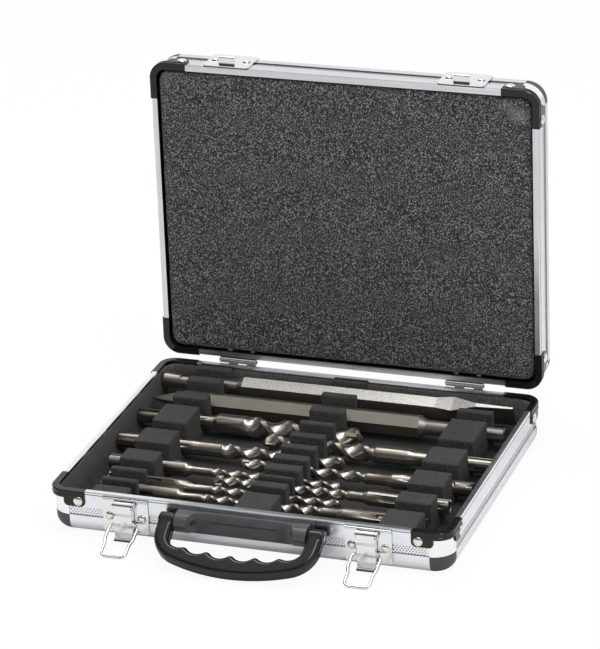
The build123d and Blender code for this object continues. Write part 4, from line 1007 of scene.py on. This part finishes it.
class CASE_OT_chisels(bpy.types.Operator):
    """Finish the flat chisel and the point chisel"""
    bl_idname = "drill_case.chisels"
    bl_label = "Chisels"

    def execute(self, context):
        metal = settings().metal
        flat_end, point_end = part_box("flat_chisel")[0].x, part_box("point_chisel")[1].x
        paint(chisel_finish("flat_chisel_steel", metal.bright_chisel, flat_end, 1, 0.26), "flat_chisel")
        paint(chisel_finish("point_chisel_steel", metal.chisel, point_end, -1, 0.42), "point_chisel")
        return {"FINISHED"}


class CASE_OT_latches(bpy.types.Operator):
    """Finish the latches and the keepers on the lid"""
    bl_idname = "drill_case.latches"
    bl_label = "Latches"

    def execute(self, context):
        metal = settings().metal
        chrome = chrome_finish("latch_metal", metal.chrome)
        wire = chrome_finish("bail_wire", scaled(metal.chrome, 1.02), 0.10)
        pin = chrome_finish("pin_metal", metal.pin, 0.24)
        lever = lever_finish(metal.chrome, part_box("left_latch_lever")[0].z)
        for hand in HANDS:
            paint(chrome, f"{hand}_latch_plate", f"{hand}_keeper")
            paint(lever, f"{hand}_latch_lever")
            paint(wire, f"{hand}_latch_bail")
            paint(pin, f"{hand}_lever_pin")
        return {"FINISHED"}


class CASE_OT_hinges(bpy.types.Operator):
    """Finish the hinges"""
    bl_idname = "drill_case.hinges"
    bl_label = "Hinges"

    def execute(self, context):
        metal = settings().metal
        plated = chrome_finish("hinge_metal", metal.hinge, 0.2)
        pin = chrome_finish("hinge_pin_metal", metal.pin, 0.24)
        for hand in HANDS:
            paint(plated, f"{hand}_hinge_base_leaf", f"{hand}_hinge_lid_leaf")
            paint(pin, f"{hand}_hinge_pin")
        return {"FINISHED"}


class CASE_OT_handle(bpy.types.Operator):
    """Ease the edges of the handle, and finish it, its backplate and its pins"""
    bl_idname = "drill_case.handle"
    bl_label = "Handle"

    def execute(self, context):
        plastic = settings().plastic
        piece = eased_copy("handle", HANDLE_VOXEL, HANDLE_ROUNDS)
        coat(piece, gloss_moulding("handle_plastic", plastic.gloss))
        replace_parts(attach(piece, "handle"), "handle")
        paint(satin_moulding("backplate_plastic", plastic.backplate, 0.34), "handle_backplate")
        paint(chrome_finish("handle_pin_metal", (0.6, 0.6, 0.61), 0.22), "handle_pins")
        return {"FINISHED"}


# Name, place and size of each lamp; its power is a setting of the studio.
LAMPS = (("key", (0.05, 0.05, 1.35), (1.8, 0.30)), ("fill", (1.1, -0.6, 0.8), (0.9, 0.9)))
LAMP_AIM = (0, 0, 0.08)
FLOOR_REACH = 6.0


class CASE_OT_studio(bpy.types.Operator):
    """Set the floor, the lamps, the white surround and the camera"""
    bl_idname = "drill_case.studio"
    bl_label = "Studio"

    def execute(self, context):
        studio = settings().studio
        self.floor()
        self.surround(studio)
        for name, place, size in LAMPS:
            self.lamp(name + "_lamp", place, size, getattr(studio, name))
        self.camera(studio)
        return {"FINISHED"}

    def floor(self):
        """White where the camera sees it directly, and paper with the case's shadow for the rest."""
        mesh = bpy.data.meshes.new("floor")
        corners = [(x * FLOOR_REACH, y * FLOOR_REACH, 0) for x, y in ((-1, -1), (1, -1), (1, 1), (-1, 1))]
        mesh.from_pydata(corners, [], [(0, 1, 2, 3)])
        finish = Finish("floor_paper", base_color=(0.93, 0.93, 0.93), roughness=0.9, specular_ior_level=0.1)
        tree = finish.tree
        rays = finish.node("ShaderNodeLightPath", out="Is Camera Ray")
        plain = finish.node("ShaderNodeEmission", None, {"Color": (1, 1, 1, 1), "Strength": 1.0})
        mixed = finish.node("ShaderNodeMixShader", None, {0: rays * 0.93, 2: plain})
        tree.links.new(finish.shader.outputs[0], mixed.socket.node.inputs[1])
        tree.links.new(mixed.socket, tree.nodes["Material Output"].inputs["Surface"])
        mesh.materials.append(finish.material)
        new_object("floor", mesh)

    def surround(self, studio):
        """White to the camera, even light on matt faces, and a shaded room in mirrors."""
        world = bpy.data.worlds.new("studio")
        bpy.context.scene.world = world
        world.use_nodes = True
        world.node_tree.nodes.clear()
        graph = Graph(world.node_tree)
        rays = graph.node("ShaderNodeLightPath")
        seen = rays.math("MAXIMUM", rays.at("Is Camera Ray"), rays.at("Is Transmission Ray"))
        heading = graph.node("ShaderNodeTexCoord", out="Generated")
        height = graph.part(heading, "Z")
        ceiling = graph.fade(height, 0.68, 0.96, studio.front, 0.9)
        horizon = graph.fade(height, 0.06, 0.28, 0.60, 0.0)
        backdrop = graph.fade(graph.part(heading, "Y"), 0.0, 0.5)
        mirrored = ceiling + horizon + (1.0 - ceiling - horizon) * backdrop
        glossy = rays.at("Is Glossy Ray")
        strength = seen + (1.0 - seen) * (glossy * mirrored + (1.0 - glossy) * studio.sky)
        back = graph.node("ShaderNodeBackground", None, {"Color": (1, 1, 1, 1), "Strength": strength})
        result = graph.tree.nodes.new("ShaderNodeOutputWorld")
        graph.tree.links.new(back.socket, result.inputs["Surface"])

    def lamp(self, name, place, size, power):
        data = bpy.data.lights.new(name, "AREA")
        data.shape = "RECTANGLE"
        data.energy, data.size, data.size_y = power, *size
        lamp = new_object(name, data)
        lamp.location = place
        lamp.rotation_euler = (Vector(LAMP_AIM) - Vector(place)).to_track_quat("-Z", "Y").to_euler()

    def camera(self, studio):
        az, el, roll = studio.turn, studio.rise, studio.roll
        back = Vector((sin(az) * cos(el), -cos(az) * cos(el), sin(el)))
        right = Vector((cos(az), sin(az), 0))
        up = back.cross(right)
        across = right * cos(roll) + up * sin(roll)
        above = up * cos(roll) - right * sin(roll)
        data = bpy.data.cameras.new("camera")
        data.lens, data.sensor_width = studio.lens, 36.0
        data.shift_x, data.shift_y = studio.shift_x, studio.shift_y
        camera = new_object("camera", data)
        turn = Matrix((across, above, back)).transposed().to_4x4()
        camera.matrix_world = Matrix.Translation(studio.place) @ turn
        bpy.context.scene.camera = camera
        bpy.context.scene.view_settings.view_transform = "Standard"


OPERATORS = (CASE_OT_studio, CASE_OT_rails, CASE_OT_strip, CASE_OT_rivets, CASE_OT_corners, CASE_OT_pad,
             CASE_OT_combs, CASE_OT_drills, CASE_OT_chisels, CASE_OT_latches, CASE_OT_hinges, CASE_OT_handle)


class CASE_PT_panel(bpy.types.Panel):
    """Lists the pieces of the drill bit case"""
    bl_label = "Drill Case"
    bl_idname = "CASE_PT_panel"
    bl_space_type = "VIEW_3D"
    bl_region_type = "UI"
    bl_category = "Drill Case"

    def draw(self, context):
        for operator in OPERATORS:
            self.layout.operator(operator.bl_idname)
        for group in GROUPS:
            box = self.layout.box()
            box.label(text=group.title())
            values = getattr(context.scene.drill_case, group)
            for name in GROUPS[group].__annotations__:
                box.prop(values, name)


CLASSES = (*GROUPS.values(), CaseSettings, *OPERATORS, CASE_PT_panel)


def register():
    for one in CLASSES:
        bpy.utils.register_class(one)
    bpy.types.Scene.drill_case = PointerProperty(type=CaseSettings)


def unregister():
    del bpy.types.Scene.drill_case
    for one in reversed(CLASSES):
        bpy.utils.unregister_class(one)


def main():
    """Dress the case."""
    register()
    for operator in OPERATORS:
        group, name = operator.bl_idname.split(".")
        getattr(getattr(bpy.ops, group), name)()


if __name__ == "__main__":
    main()
